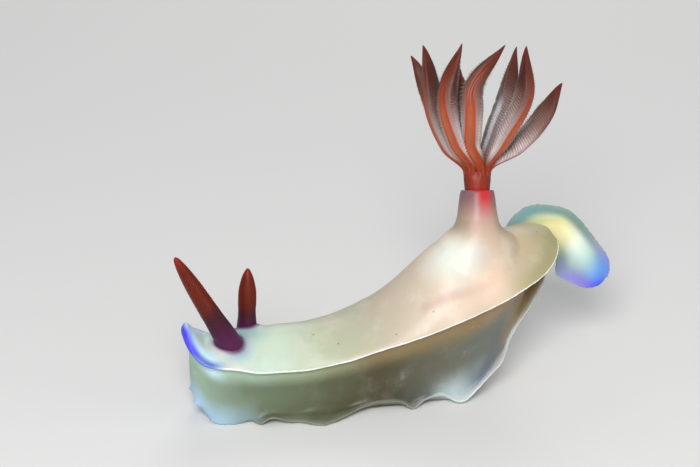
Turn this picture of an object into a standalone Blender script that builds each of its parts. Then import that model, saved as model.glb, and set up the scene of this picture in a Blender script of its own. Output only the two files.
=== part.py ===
"""Hypselodoris bullockii, a sea slug about 60 mm long along its curve, as a still life-size model.

The slug stands on its sole, facing -X, with its left side towards -Y. The origin is on the sole.
Sizes are in millimetres, and become metres where a mesh is made.
"""

import math

import bmesh
import bpy
import numpy as np
from mathutils import Matrix, Vector

METRES = 0.001
GAP = 0.3  # between pieces that touch

# The mantle, seen from above: where it starts and ends, and how its outline is rounded there.
BROW_X, LOBE_X = -18.9, 24.9
BROW_ROUND, LOBE_ROUND = 3.0, 8.0
RIM_THICK = 0.6
MANTLE_CUTS = (-7.0, 7.6)

# The trunk under it, and its cuts into head, front, middle and rear.
FACE_X, TRUNK_END_X = -18.2, 22.0
FACE_ROUND, END_ROUND = 4.4, 2.4
TRUNK_CUTS = (-12.6, -2.0, 8.6)

MOUTH = (-17.7, 0.1, 2.3)

# The foot, as path lengths from its front edge, and the share of its width that lies flat.
FOOT_CUTS = (11.5, 23.0, 33.0, 41.5)
MARGIN_THICK = 0.5
SOLE_SHARE = 0.62

# The gill: a tall pocket on the back, a stem in it, and a crown of branches on the stem.
POCKET_FOOT = (14.7, 0.2, 16.1)
POCKET_RIM = (15.25, 2.75, 22.8)
RIM_RADIUS, POCKET_WALL, POCKET_DEPTH = 1.95, 0.5, 2.0
FLARE_RISE = 6.0  # how steeply the pocket's foot rises from the back, over its whole height
STEM_RADIUS, STEM_RISE = 1.65, 1.9
CROWN_TURN = 13.0  # degrees from the tail's side towards the left, where the crown's bearings start
ROOT_RING = 1.3
RACHIS_WIDTH, RACHIS_DEPTH = 1.4, 0.75
LAMELLAE = 10  # pairs on a branch
LAMELLA_REACH, LAMELLA_SPREAD, LAMELLA_THICK = 1.9, 1.3, 0.5
LAMELLA_LEAN = 0.35

# The rhinophores: where the axis of each meets the mantle, its tip, its radius near the club's foot, and how
# full its club is. The left one is stretched out and slender, the right one is drawn in and full.
RHINOPHORES = {
    "left": ((-14.1, -0.8, 9.1), (-19.6, -0.9, 19.3), 1.12, 0.1),
    "right": ((-11.3, 2.3, 8.6), (-11.0, 2.6, 15.8), 1.0, 1.0),
}
CLUB_FOOT = 0.34  # share of the length that is smooth stalk
CLUB_RINGS = 13
SHEATH_HEIGHT, SHEATH_THICK = 0.6, 0.5

SKIN = (0.80, 0.76, 0.60)
FLANK = (0.52, 0.46, 0.30)
SOLE = (0.62, 0.64, 0.62)
PEARL = (0.62, 0.74, 0.80)
VIOLET = (0.30, 0.10, 0.30)
BRICK = (0.42, 0.06, 0.03)
CORAL = (0.62, 0.14, 0.06)
CRIMSON = (0.70, 0.08, 0.07)


def curve_of(*knots):
    """A smooth function through (t, value) knots that doesn't overshoot. Values are numbers or points."""
    t = np.array([knot[0] for knot in knots], float)
    v = np.array([np.atleast_1d(knot[1]) for knot in knots], float)
    step = np.diff(t)[:, None]
    slope = np.diff(v, axis=0) / step
    tangent = np.empty_like(v)
    tangent[0], tangent[-1] = slope[0], slope[-1]
    before, after = slope[:-1], slope[1:]
    weight_a, weight_b = 2 * step[1:] + step[:-1], step[1:] + 2 * step[:-1]
    turning = before * after <= 0
    safe_before, safe_after = np.where(turning, 1.0, before), np.where(turning, 1.0, after)
    mean = (weight_a + weight_b) / (weight_a / safe_before + weight_b / safe_after)
    tangent[1:-1] = np.where(turning, 0.0, mean)

    def value(x):
        i = int(np.clip(np.searchsorted(t, x) - 1, 0, len(t) - 2))
        width = t[i + 1] - t[i]
        s = min(max((x - t[i]) / width, 0.0), 1.0)
        rise = s * s * (3 - 2 * s)
        out = v[i] * (1 - rise) + v[i + 1] * rise
        out = out + width * s * (1 - s) * (tangent[i] * (1 - s) - tangent[i + 1] * s)
        return out if out.size > 1 else float(out[0])

    return value


def smooth(low, high, x):
    s = min(max((x - low) / (high - low), 0.0), 1.0)
    return s * s * (3 - 2 * s)


def unit(v):
    v = np.asarray(v, float)
    return v / np.linalg.norm(v)


# Mantle by x: heights of its left rim, right rim and crest, its middle line and its half width.
left_rim = curve_of((-18.9, 10.0), (-18.6, 9.0), (-18.1, 8.2), (-17.3, 7.5), (-16, 7.0), (-13.4, 6.6),
                    (-10.6, 6.0), (-6.4, 6.0), (-1.6, 6.8), (3, 8.1), (6.7, 9.1), (11.6, 10.7), (15.5, 12.1),
                    (19.5, 13.7), (22.4, 14.5), (24.2, 15.3), (24.9, 15.9))
right_rim = curve_of((-18.9, 10.0), (-18.4, 9.8), (-17, 8.8), (-15, 7.8), (-10.6, 7.0), (-6.4, 7.2),
                     (-1.6, 8.2), (3, 9.8), (7, 11.6), (12, 14.0), (16, 15.6), (19.7, 16.5), (22.6, 17.1),
                     (24.2, 16.9), (24.9, 15.9))
crest = curve_of((-18.9, 10.1), (-18.4, 10.7), (-17.8, 10.1), (-17, 9.1), (-16.1, 8.5), (-15, 8.5),
                 (-11.9, 9.0), (-7.9, 9.3), (-1.8, 9.2), (1.8, 10.1), (3.9, 11.2), (5.9, 12.8), (8.5, 15.5),
                 (10.5, 17.2), (13, 17.9), (16, 17.9), (18.5, 17.5), (21, 17.1), (24.9, 16.0))
mantle_y = curve_of((-18.9, 0.3), (-12, 0.1), (-4, -0.1), (7, 0.0), (14, 0.4), (19.7, 1.0), (22.4, 1.8),
                    (24.9, 2.9))
mantle_wide = curve_of((-18.9, 3.6), (-12, 3.9), (-6.4, 4.2), (-1.6, 4.7), (4, 5.2), (9, 5.6), (14, 5.8),
                       (24.9, 5.6))
arch_power = curve_of((-18.9, 1.4), (-13, 0.85), (0, 0.75), (12, 0.8), (17, 1.0), (24.9, 1.4))

# Trunk by x: how far its top lies inside the rim, and its half width at the foot.
rim_inset = curve_of((-18.2, 0.9), (-14, 0.6), (0, 0.45), (14, 0.5), (18, 1.0), (22, 2.0))
trunk_foot = curve_of((-18.2, 3.6), (-15.5, 4.5), (-12.6, 4.4), (-8, 4.3), (-4, 4.1), (4, 4.0), (11, 4.0),
                      (16, 3.8), (20, 3.3), (22, 2.6))

# Foot: points of its path with a hint of the sideways direction at each.
FOOT_PATH = (
    ((-12.9, 0.0, 0.0), (0, 1, 0)), ((-6.0, -0.1, 0.0), (0, 1, 0)), ((0.0, -0.1, 0.0), (0, 1, 0)),
    ((6.0, 0.0, 0.0), (0, 1, 0)), ((11.0, 0.1, 0.0), (0, 1, 0)), ((13.8, 0.4, 1.0), (0, 1, 0.05)),
    ((16.0, 1.0, 3.2), (0, 1, 0.1)), ((18.1, 2.0, 6.0), (0, 1, 0.15)), ((19.9, 3.3, 8.8), (-0.1, 1, 0.25)),
    ((21.4, 5.0, 11.2), (-0.2, 0.95, 0.4)), ((22.8, 6.9, 13.4), (-0.2, 0.9, 0.5)),
    ((24.4, 8.0, 15.0), (0.1, 0.85, 0.5)), ((26.4, 7.8, 15.2), (0.5, 0.75, 0.45)),
    ((28.2, 6.7, 13.7), (0.7, 0.6, 0.35)), ((29.6, 5.6, 11.7), (0.75, 0.55, 0.35)),
    ((31.0, 4.6, 8.8), (0.75, 0.55, 0.35)),
)


def path_lengths():
    steps = np.linalg.norm(np.diff(np.array([p for p, _ in FOOT_PATH]), axis=0), axis=1)
    return [0.0, *np.cumsum(steps)]


FOOT_LENGTHS = path_lengths()
FOOT_LENGTH = FOOT_LENGTHS[-1]
foot_point = curve_of(*((s, p) for s, (p, _) in zip(FOOT_LENGTHS, FOOT_PATH)))
foot_side = curve_of(*((s, d) for s, (_, d) in zip(FOOT_LENGTHS, FOOT_PATH)))
foot_by_x = curve_of(*((p[0], p) for p, _ in FOOT_PATH))
left_margin = curve_of((0, 4.4), (3, 5.3), (5.5, 5.2), (8.5, 6.4), (11, 5.6), (13, 4.8), (15, 4.4),
                       (19, 4.9), (22, 4.2), (25, 5.0), (29, 4.7), (33, 4.6), (37, 4.2), (41, 3.5),
                       (43.5, 3.1), (46, 2.6), (48.5, 2.6), (50.3, 3.7), (52.5, 5.2), (54.5, 4.1),
                       (FOOT_LENGTH, 3.1))
right_margin = curve_of((0, 3.9), (3, 4.9), (6.5, 5.6), (10, 4.7), (14, 5.3), (18, 4.5), (22, 4.9),
                        (25, 4.6), (29, 4.8), (34, 4.0), (38, 3.4), (41, 3.4), (44, 3.8), (47, 3.5),
                        (49.5, 2.7), (52, 2.5), (54, 2.7), (FOOT_LENGTH, 3.2))
left_lift = curve_of((0, 0.8), (1.6, 0.0), (3.0, 0.9), (5, 0.2), (8.5, 0.0), (11.5, 0.4), (15, 1.0),
                     (17.5, 1.0), (19, 0.0), (20.5, 0.8), (22.5, 1.0), (24.5, 0.1), (27, 0.7), (30, 0.1),
                     (33, 0.7), (37, 0.3), (41, 0.3), (44, 0.0), (47, 0.3), (FOOT_LENGTH, 0.1))
right_lift = curve_of((0, 0.6), (2.2, 0.0), (4, 0.8), (6.5, 0.0), (9, 0.9), (11.5, 0.2), (14, 0.0),
                      (16.5, 1.0), (19, 0.1), (21.5, 0.9), (24, 0.1), (26.5, 0.8), (30, 0.2), (33, 0.7),
                      (37, 0.2), (41, 0.4), (44, 0.1), (47, 0.4), (FOOT_LENGTH, 0.1))
ridge_height = curve_of((0, 0.9), (3, 1.3), (24, 1.3), (32, 1.5), (38, 1.7), (42, 1.8), (47, 1.5),
                        (FOOT_LENGTH, 0.7))
FOOT_FRONT_ROUND, TAIL_ROUND = 2.6, 3.2

# Crown of the gill, in its own frame: x to the tail, y to the right side and z along the stem, from its top.
# A branch has the bearing of its root and three points that it passes: low down, its belly and its tip.
CROWN = (
    (12, (4.8, 1.0, 2.5), (8.3, 1.6, 6.4), (9.7, 1.9, 10.0)),
    (60, (1.9, 3.8, 3.6), (4.0, 5.6, 8.7), (4.8, 4.8, 14.3)),
    (108, (-0.8, 3.3, 3.4), (-1.7, 5.0, 7.8), (-1.8, 4.5, 12.4)),
    (155, (-3.2, 2.2, 3.2), (-5.5, 3.9, 8.6), (-7.2, 4.2, 13.3)),
    (195, (-3.6, -0.8, 2.6), (-5.5, -1.4, 7.8), (-6.0, -1.2, 14.1)),
    (240, (-2.5, -2.9, 3.0), (-3.8, -4.3, 8.0), (-1.8, -3.8, 14.1)),
    (285, (-0.9, -3.3, 3.2), (-0.9, -5.0, 8.2), (2.9, -4.2, 13.9)),
    (328, (2.9, -2.4, 3.2), (5.6, -3.8, 9.4), (5.3, -3.2, 13.8)),
)


def round_end(distance, radius):
    """Share of the full width at this distance from a rounded end."""
    inward = min(max(distance / radius, 0.0), 1.0)
    return math.sqrt(1 - (1 - inward) ** 2)


def mantle_half(x):
    return mantle_wide(x) * round_end(x - BROW_X, BROW_ROUND) * round_end(LOBE_X - x, LOBE_ROUND)


def rim_height(x, share):
    """Height on the straight line from the left rim, at share -1, to the right rim, at share 1."""
    return left_rim(x) * (1 - share) / 2 + right_rim(x) * (1 + share) / 2


def back_height(x, share):
    """Height of the mantle's upper side."""
    rise = crest(x) - rim_height(x, 0)
    return rim_height(x, share) + rise * max(1 - share * share, 0.0) ** arch_power(x)


def mantle_ring(x, grow=0.0, arch_points=13):
    """A closed section of the mantle at x. grow moves every side outwards, for a cutter."""
    half = mantle_half(x) + grow
    middle = mantle_y(x)
    shares = np.sin(np.linspace(-1, 1, arch_points) * math.pi / 2) * 0.985
    ring = [(x, middle + half * s, back_height(x, s) + grow) for s in shares]
    for s in (1.0, 0.93, 0.5, 0.0, -0.5, -0.93, -1.0):
        depth = RIM_THICK * (0.5 if abs(s) == 1.0 else 1.0)
        ring.append((x, middle + half * s, rim_height(x, s) - depth - (grow if abs(s) < 1 else 0)))
    return ring


def trunk_ring(x, grow=0.0, side_points=6):
    """A closed section of the trunk at x, from just under the mantle down into the foot."""
    share = round_end(x - FACE_X, FACE_ROUND) * round_end(TRUNK_END_X - x, END_ROUND)
    top_half = max(mantle_half(x) - rim_inset(x), 0.3) * share
    low_half = trunk_foot(x) * share
    foot = foot_by_x(x)
    low_z = foot[2] + 0.2 + chin_rise(x)
    if x < TRUNK_CUTS[0]:
        low_z -= 0.2
    rows = {-1: [], 1: []}
    for tau in np.linspace(0, 1, side_points):
        half = top_half * (1 - tau) + low_half * tau - 0.45 * math.sin(math.pi * tau) * share + grow
        middle = mantle_y(x) * (1 - tau) + foot[1] * tau
        for side, row in rows.items():
            rim_share = side * top_half / mantle_half(x)
            top_z = rim_height(x, rim_share) - RIM_THICK - GAP
            row.append((x - grow, middle + side * half, (top_z + grow) * (1 - tau) + (low_z - grow) * tau))
    return rows[1] + rows[-1][::-1]


def chin_rise(x):
    """The chin curls up in front of the mouth."""
    return 2.4 * (1 - smooth(FACE_X, FACE_X + 3.0, x)) ** 2


def foot_frame(length):
    """Middle of the sole at this length, with its sideways and upward directions."""
    step = 0.05
    low, high = max(length - step, 0.0), min(length + step, FOOT_LENGTH)
    ahead = unit(foot_point(high) - foot_point(low))
    side = foot_side(length)
    side = unit(side - ahead * np.dot(side, ahead))
    return foot_point(length), side, np.cross(ahead, side)


def foot_ring(length, grow=0.0):
    """A closed section of the foot: flat sole, thin lifted margins and a raised middle under the trunk."""
    middle, side, up = foot_frame(length)
    share = round_end(length, FOOT_FRONT_ROUND) * round_end(FOOT_LENGTH - length, TAIL_ROUND)
    on_tail = smooth(33, 40, length)
    inner, outer = 0.5 * (1 - on_tail), 0.82 - 0.12 * on_tail
    widths = {-1: left_margin(length) * share, 1: right_margin(length) * share}
    lifts = {-1: left_lift(length), 1: right_lift(length)}

    def at(q, height):
        sign = -1 if q < 0 else 1
        lift = lifts[sign] * smooth(SOLE_SHARE, 1.0, abs(q)) * share
        across = q * widths[sign] + sign * grow * abs(q)
        return middle + side * across + up * (height + lift)

    def top(q):
        rise = 1 - smooth(inner, outer, abs(q))
        return MARGIN_THICK + (max(ridge_height(length), MARGIN_THICK) - MARGIN_THICK) * rise + grow

    tops = (0.99, 0.86, 0.72, 0.56, 0.36, 0.18, 0.0)
    ring = [at(-q, top(q)) for q in tops] + [at(q, top(q)) for q in tops[-2::-1]]
    ring.append(at(1.0, 0.5 * MARGIN_THICK))
    ring += [at(q, -grow) for q in (0.96, 0.8, SOLE_SHARE, 0.0, -SOLE_SHARE, -0.8, -0.96)]
    ring.append(at(-1.0, 0.5 * MARGIN_THICK))
    return ring


def stations(low, high, spacing, ends=()):
    """Evenly spaced stations from low to high, closer together near rounded ends, given as (end, radius)."""
    found = list(np.linspace(low, high, max(2, round((high - low) / spacing) + 1)))
    for end, radius in ends:
        if low - 0.01 <= end <= high + 0.01:
            inward = 1 if end < (low + high) / 2 else -1
            found = [x for x in found if (x - end) * inward >= radius]
            turns = np.linspace(0.12, math.pi / 2, 7)[:-1]
            found += [end + inward * radius * (1 - math.cos(a)) for a in turns]
    return sorted(set(round(float(x), 4) for x in found))


def material(name, colour, roughness):
    made = bpy.data.materials.get(name) or bpy.data.materials.new(name)
    made.use_nodes = True
    shader = made.node_tree.nodes["Principled BSDF"]
    shader.inputs["Base Color"].default_value = (*colour, 1)
    shader.inputs["Roughness"].default_value = roughness
    shader.inputs["Metallic"].default_value = 0.0
    return made


def new_collection(name):
    made = bpy.data.collections.new(name)
    bpy.context.scene.collection.children.link(made)
    return made


def add_object(name, bm, collection, look=None):
    bmesh.ops.recalc_face_normals(bm, faces=bm.faces)
    mesh = bpy.data.meshes.new(name)
    bm.to_mesh(mesh)
    bm.free()
    mesh.shade_smooth()
    made = bpy.data.objects.new(name, mesh)
    collection.objects.link(made)
    if look:
        mesh.materials.append(look)
    return made


def loft(rings):
    """A closed bmesh through rings of points, with flat ends. The quads of its upper and lower side are cut
    along diagonals that lean the same way, so that thin places don't cross."""
    bm = bmesh.new()
    rows = [[bm.verts.new(Vector(p) * METRES) for p in ring] for ring in rings]
    count = len(rows[0])
    middle_ring = np.array(rings[len(rings) // 2])
    spread = middle_ring - middle_ring.mean(axis=0)
    way = np.linalg.svd(spread)[2][0]
    reach = middle_ring @ way
    for a, b in zip(rows, rows[1:]):
        for j in range(count):
            k = (j + 1) % count
            if reach[k] >= reach[j]:
                bm.faces.new((a[j], a[k], b[k]))
                bm.faces.new((a[j], b[k], b[j]))
            else:
                bm.faces.new((a[j], a[k], b[j]))
                bm.faces.new((a[k], b[k], b[j]))
    bm.faces.new(rows[0])
    bm.faces.new(rows[-1])
    return bm


def turned(name, profile, foot, axis, steps, parts, look):
    """A turned solid that stands on foot along axis. The profile is (height, radius), from the top down its
    outer side, and the ends are closed."""
    profile = [(profile[0][0], 0.0), *profile, (profile[-1][0], 0.0)]
    mesh = bpy.data.meshes.new(name)
    mesh.from_pydata([(radius * METRES, 0.0, height * METRES) for height, radius in profile],
                     [(i, i + 1) for i in range(len(profile) - 1)], [])
    mesh.materials.append(look)
    made = bpy.data.objects.new(name, mesh)
    parts.objects.link(made)
    screw = made.modifiers.new("turn", "SCREW")
    screw.axis = "Z"
    screw.steps = screw.render_steps = steps
    screw.use_merge_vertices = True
    screw.merge_threshold = 0.00001
    apply_modifiers(made)
    keep_largest(made)
    turn = Vector(axis).to_track_quat("Z", "Y").to_matrix().to_4x4()
    made.data.transform(Matrix.Translation(Vector(foot) * METRES) @ turn)
    made.data.shade_smooth()
    return made


def apply_modifiers(piece):
    bpy.context.view_layer.update()
    graph = bpy.context.evaluated_depsgraph_get()
    made = bpy.data.meshes.new_from_object(piece.evaluated_get(graph))
    piece.modifiers.clear()
    piece.data = made


def keep_largest(piece):
    """Keeps the piece's largest closed surface, as triangles."""
    bm = bmesh.new()
    bm.from_mesh(piece.data)
    bmesh.ops.remove_doubles(bm, verts=bm.verts, dist=1e-6)
    left, groups = set(bm.faces), []
    while left:
        group, todo = set(), [left.pop()]
        while todo:
            face = todo.pop()
            group.add(face)
            near = {f for e in face.edges if len(e.link_faces) == 2 for f in e.link_faces} & left
            left -= near
            todo += near
        groups.append(group)
    groups.sort(key=lambda g: -sum(f.calc_area() for f in g))
    bmesh.ops.delete(bm, geom=[f for g in groups[1:] for f in g], context="FACES")
    bmesh.ops.triangulate(bm, faces=bm.faces)
    bmesh.ops.recalc_face_normals(bm, faces=bm.faces)
    bm.to_mesh(piece.data)
    bm.free()


def cut(piece, *cutters):
    """Takes the cutters' shapes out of the piece."""
    for cutter in cutters:
        modifier = piece.modifiers.new("cut", "BOOLEAN")
        modifier.operation = "DIFFERENCE"
        modifier.object = cutter
    apply_modifiers(piece)
    keep_largest(piece)


def join(base, pieces, name):
    """One closed body from the base and the closed pieces that overlap it."""
    group = new_collection(name + "_pieces")
    for piece in pieces:
        for owner in list(piece.users_collection):
            owner.objects.unlink(piece)
        group.objects.link(piece)
    modifier = base.modifiers.new("join", "BOOLEAN")
    modifier.operation = "UNION"
    modifier.operand_type = "COLLECTION"
    modifier.collection = group
    modifier.solver = "MANIFOLD"
    apply_modifiers(base)
    for piece in pieces:
        bpy.data.objects.remove(piece)
    bpy.data.collections.remove(group)
    keep_largest(base)


def spans(low, high, cuts):
    """The pieces between low and high, with the gap taken out at each cut."""
    edges = [low, *cuts, high]
    return [(a + (GAP / 2 if a in cuts else 0), b - (GAP / 2 if b in cuts else 0))
            for a, b in zip(edges, edges[1:])]


def make_mantle(parts, cutters):
    ends = ((BROW_X, BROW_ROUND), (LOBE_X, LOBE_ROUND))
    names = ("mantle_front", "mantle_middle", "mantle_rear")
    for name, (low, high) in zip(names, spans(BROW_X, LOBE_X, MANTLE_CUTS)):
        rings = [mantle_ring(x) for x in stations(low, high, 1.7, ends)]
        add_object(name, loft(rings), parts, material("mantle", SKIN, 0.35))
    rings = [mantle_ring(x, GAP) for x in stations(BROW_X, LOBE_X, 1.7, ends)]
    return add_cutter("mantle_room", rings, cutters)


def add_cutter(name, rings, cutters):
    made = add_object(name, loft(rings), cutters)
    made.hide_render = True
    made.display_type = "WIRE"
    return made


def make_foot(parts, cutters):
    ends = ((0.0, FOOT_FRONT_ROUND), (FOOT_LENGTH, TAIL_ROUND))
    names = ("foot_front", "foot_middle", "foot_rear", "tail_base", "tail_tip")
    looks = [material("foot", SOLE, 0.35)] * 3 + [material("tail", PEARL, 0.3)] * 2
    for name, look, (low, high) in zip(names, looks, spans(0.0, FOOT_LENGTH, FOOT_CUTS)):
        add_object(name, loft([foot_ring(s) for s in stations(low, high, 1.0, ends)]), parts, look)
    rings = [foot_ring(s, GAP) for s in stations(0.0, FOOT_LENGTH, 1.0, ends)]
    return add_cutter("foot_room", rings, cutters)


def make_trunk(parts, cutters, foot_room):
    names = ("head", "trunk_front", "trunk_middle", "trunk_rear")
    ends = ((FACE_X, FACE_ROUND), (TRUNK_END_X, END_ROUND))
    for name, (low, high) in zip(names, spans(FACE_X, TRUNK_END_X, TRUNK_CUTS)):
        rings = [trunk_ring(x) for x in stations(low, high, 1.7, ends)]
        made = add_object(name, loft(rings), parts, material("flank", FLANK, 0.35))
        cut(made, foot_room, *([make_mouth(cutters)] if name == "head" else []))
    rings = [trunk_ring(x, GAP) for x in stations(FACE_X, TRUNK_CUTS[0], 1.7, ends)]
    return add_cutter("head_room", rings, cutters)


def make_mouth(cutters):
    """A short upright slit in the face, between the tentacles."""
    bm = bmesh.new()
    bmesh.ops.create_uvsphere(bm, u_segments=10, v_segments=8, radius=METRES)
    centre = Vector(MOUTH) * METRES
    for vert in bm.verts:
        vert.co = centre + Vector((vert.co.x * 0.7, vert.co.y * 0.32, vert.co.z * 0.9))
    made = add_object("mouth", bm, cutters)
    made.hide_render = True
    made.display_type = "WIRE"
    return made


def make_mouth_tentacles(parts, head_room):
    """A short blunt tentacle on either side of the mouth."""
    for name, side in (("oral_tentacle_left", -1), ("oral_tentacle_right", 1)):
        root = np.array(MOUTH) + (1.4, side * 1.3, 0.2)
        tip = np.array(MOUTH) + (-0.7, side * 2.1, -0.3)
        length = np.linalg.norm(tip - root)
        marks = ((1.0, 0.12), (0.92, 0.4), (0.75, 0.6), (0.5, 0.7), (0.0, 0.72))
        made = turned(name, [(t * length, radius) for t, radius in marks], root, tip - root, 10, parts,
                      material("head", PEARL, 0.3))
        cut(made, head_room)


def make_rhinophores(parts, mantle_room):
    for side, (base, tip, radius, full) in RHINOPHORES.items():
        base, tip = np.array(base), np.array(tip)
        length = np.linalg.norm(tip - base)
        axis = (tip - base) / length
        low = CLUB_FOOT * length
        stalk = [base + axis * t for t in (-1.2, 0.0, 0.5 * low, low)]
        marks = ((low, 0.92), (0.5 * low, 1.05), (0.0, 1.14), (-1.2, 1.16))
        profile = [(height, share * radius) for height, share in marks]
        made = turned(f"rhinophore_{side}_stalk", profile, base, axis, 12, parts,
                      material("stalk", VIOLET, 0.35))
        cut(made, mantle_room)
        low += GAP
        profile = []
        for i in range(CLUB_RINGS):
            for inside, rise in ((0.84, 0.0), (1.03, 0.4), (1.0, 0.75)):
                t = (i + rise) / CLUB_RINGS
                width = (slender_club(t) * (1 - full) + full_club(t) * full) * inside
                profile.append((low + (length - low) * t * 0.98, width * radius))
        profile.append((length, 0.1))
        turned(f"rhinophore_{side}_club", profile[::-1], base, axis, 10, parts,
               material("club", BRICK, 0.35))
        make_sheath(side, base, axis, 1.16 * radius + GAP, parts)


slender_club = curve_of((0, 0.94), (0.21, 0.87), (0.46, 0.78), (0.71, 0.61), (0.91, 0.39), (1.0, 0.14))
full_club = curve_of((0, 0.95), (0.15, 1.0), (0.4, 0.98), (0.65, 0.8), (0.85, 0.52), (0.96, 0.26),
                     (1.0, 0.14))


def surface_height(x, y):
    share = (y - mantle_y(x)) / mantle_half(x)
    return back_height(x, share)


def make_sheath(side, base, axis, inner, parts):
    """The low raised collar on the mantle that the rhinophore stands in."""
    rows = ((0.0, GAP), (SHEATH_THICK, GAP), (SHEATH_THICK * 0.9, SHEATH_HEIGHT * 0.6),
            (SHEATH_THICK * 0.55, SHEATH_HEIGHT), (0.08, SHEATH_HEIGHT * 0.9))
    bm = bmesh.new()
    loops = []
    for out, height in rows:
        ring = []
        for k in range(16):
            angle = 2 * math.pi * k / 16
            x = base[0] + (inner + out) * math.cos(angle) * 1.12 + axis[0] / axis[2] * height
            y = base[1] + (inner + out) * math.sin(angle) + axis[1] / axis[2] * height
            ring.append(bm.verts.new(Vector((x, y, surface_height(x, y) + height)) * METRES))
        loops.append(ring)
    for a, b in zip(loops, loops[1:] + loops[:1]):
        for j in range(16):
            k = (j + 1) % 16
            bm.faces.new((a[j], a[k], b[k], b[j]))
    add_object(f"rhinophore_{side}_sheath", bm, parts, material("mantle", SKIN, 0.35))


def pocket_ring(share, radius, sides=18):
    """A ring of the pocket. It follows the back low down, and turns square to the axis as it rises."""
    foot, rim = np.array(POCKET_FOOT), np.array(POCKET_RIM)
    height = np.linalg.norm(rim - foot)
    axis = (rim - foot) / height
    across = unit(np.array((0.0, 1.0, 0.0)) - axis * axis[1])
    other = np.cross(axis, across)
    risen = smooth(0.0, 0.55, share)
    ring = []
    for k in range(sides):
        angle = 2 * math.pi * k / sides
        high = foot + axis * height * share + radius * (across * math.cos(angle) + other * math.sin(angle))
        low = np.array((high[0], high[1], surface_height(high[0], high[1]) + FLARE_RISE * share))
        ring.append(low * (1 - risen) + high * risen)
    return ring


def make_pocket(parts, mantle_room):
    """The tall gill pocket: it flares into the back, and its rim stands round the stem."""
    height = np.linalg.norm(np.array(POCKET_RIM) - np.array(POCKET_FOOT))
    outer = ((-0.1, 5.3), (0.0, 4.8), (0.1, 4.1), (0.22, 3.45), (0.38, 2.75), (0.52, 2.38), (0.72, 2.15),
             (0.94, RIM_RADIUS), (1.0, RIM_RADIUS - 0.15))
    inner = ((1.0, RIM_RADIUS - POCKET_WALL), (1.0 - POCKET_DEPTH / height, RIM_RADIUS - POCKET_WALL - 0.05))
    made = add_object("gill_pocket", loft([pocket_ring(*mark) for mark in outer + inner]), parts,
                      material("pocket", SKIN, 0.35))
    cut(made, mantle_room)


def make_stem(parts):
    rim = np.array(POCKET_RIM)
    axis = unit(rim - np.array(POCKET_FOOT))
    inside = RIM_RADIUS - POCKET_WALL - 0.05 - GAP
    marks = ((STEM_RISE, STEM_RADIUS + 0.15), (0.7, STEM_RADIUS), (GAP, STEM_RADIUS - 0.1), (-0.05, inside),
             (GAP - POCKET_DEPTH, inside))
    look = material("stem", CRIMSON, 0.3)
    turned("gill_stem", marks, rim, axis, 16, parts, look)
    top = rim + axis * (STEM_RISE + GAP)
    turned("anal_papilla", ((1.1, 0.2), (0.7, 0.42), (0.0, 0.5)), top, axis, 8, parts, look)
    return top, axis


def branch_frames(root, low, belly, tip, count):
    """Points along a branch, from root to tip, with the outward and sideways directions at each."""
    knots = [root, low, belly, tip]
    lengths = [0.0, *np.cumsum([np.linalg.norm(b - a) for a, b in zip(knots, knots[1:])])]
    path = curve_of(*zip(lengths, knots))
    frames = []
    for s in np.linspace(0, lengths[-1], count):
        ahead = unit(path(min(s + 0.1, lengths[-1])) - path(max(s - 0.1, 0)))
        outward = path(s) * (1, 1, 0)
        outward = unit(outward - ahead * np.dot(outward, ahead))
        frames.append((path(s), ahead, outward, np.cross(ahead, outward)))
    return frames


def make_branch(name, bearing, low, belly, tip, place, parts):
    """A gill branch: a tapering rachis on its outer side, with pairs of thin lamellae on its inner side."""
    angle = math.radians(bearing)
    root = np.array((math.cos(angle), math.sin(angle), 0.0)) * ROOT_RING
    path = root, *(np.array(p, float) for p in (low, belly, tip))
    frames = branch_frames(*path, 12)
    rings = []
    for i, (point, _, outward, sideways) in enumerate(frames):
        taper = rachis_taper(i / (len(frames) - 1))
        half, deep = RACHIS_WIDTH / 2 * taper, RACHIS_DEPTH * taper
        corners = ((-half, 0.0), (-0.7 * half, 0.35 * deep), (0.7 * half, 0.35 * deep), (half, 0.0),
                   (0, -0.65 * deep))
        rings.append([place(point + sideways * a + outward * b) for a, b in corners])
    base = add_object(name, loft(rings), parts, material("gill", CORAL, 0.3))
    frames = branch_frames(*path, LAMELLAE + 5)
    pairs = [make_lamellae(frame, lamella_share((i + 2) / (len(frames) - 1)), place, parts)
             for i, frame in enumerate(frames[2:-3])]
    join(base, pairs, name)


rachis_taper = curve_of((0, 0.6), (0.25, 0.95), (0.6, 1.0), (0.8, 0.9), (0.93, 0.55), (1.0, 0.12))
lamella_share = curve_of((0, 0.2), (0.12, 0.3), (0.45, 1.0), (0.65, 0.95), (0.85, 0.6), (1.0, 0.3))


def make_lamellae(frame, share, place, parts):
    """A left and right leaf, as one piece that is sunk in the rachis between them. Both lean to the tip."""
    point, ahead, outward, sideways = frame
    reach, spread = LAMELLA_REACH * share, LAMELLA_SPREAD * share
    half = [(0.22, 0.08), (0.75 * spread, -0.12 * reach), (spread, -0.55 * reach), (0.5 * spread, -reach)]
    outline = half + [(0, -0.6 * reach)] + [(-a, b) for a, b in half[::-1]]
    rings = []
    for lift in (-LAMELLA_THICK / 2, LAMELLA_THICK / 2):
        rings.append([place(point + sideways * a + outward * b + ahead * (lift - b * LAMELLA_LEAN))
                      for a, b in outline])
    return add_object("lamellae", loft(rings), parts)


def make_crown(top, axis, parts):
    turn = math.radians(CROWN_TURN)
    level = np.array((math.cos(turn), -math.sin(turn), 0.0))
    along = unit(level - axis * np.dot(level, axis))
    right = np.cross(axis, along)

    def place(p):
        return top + along * p[0] + right * p[1] + axis * p[2]

    for number, branch in enumerate(CROWN, 1):
        make_branch(f"gill_branch_{number}", *branch, place, parts)


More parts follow.
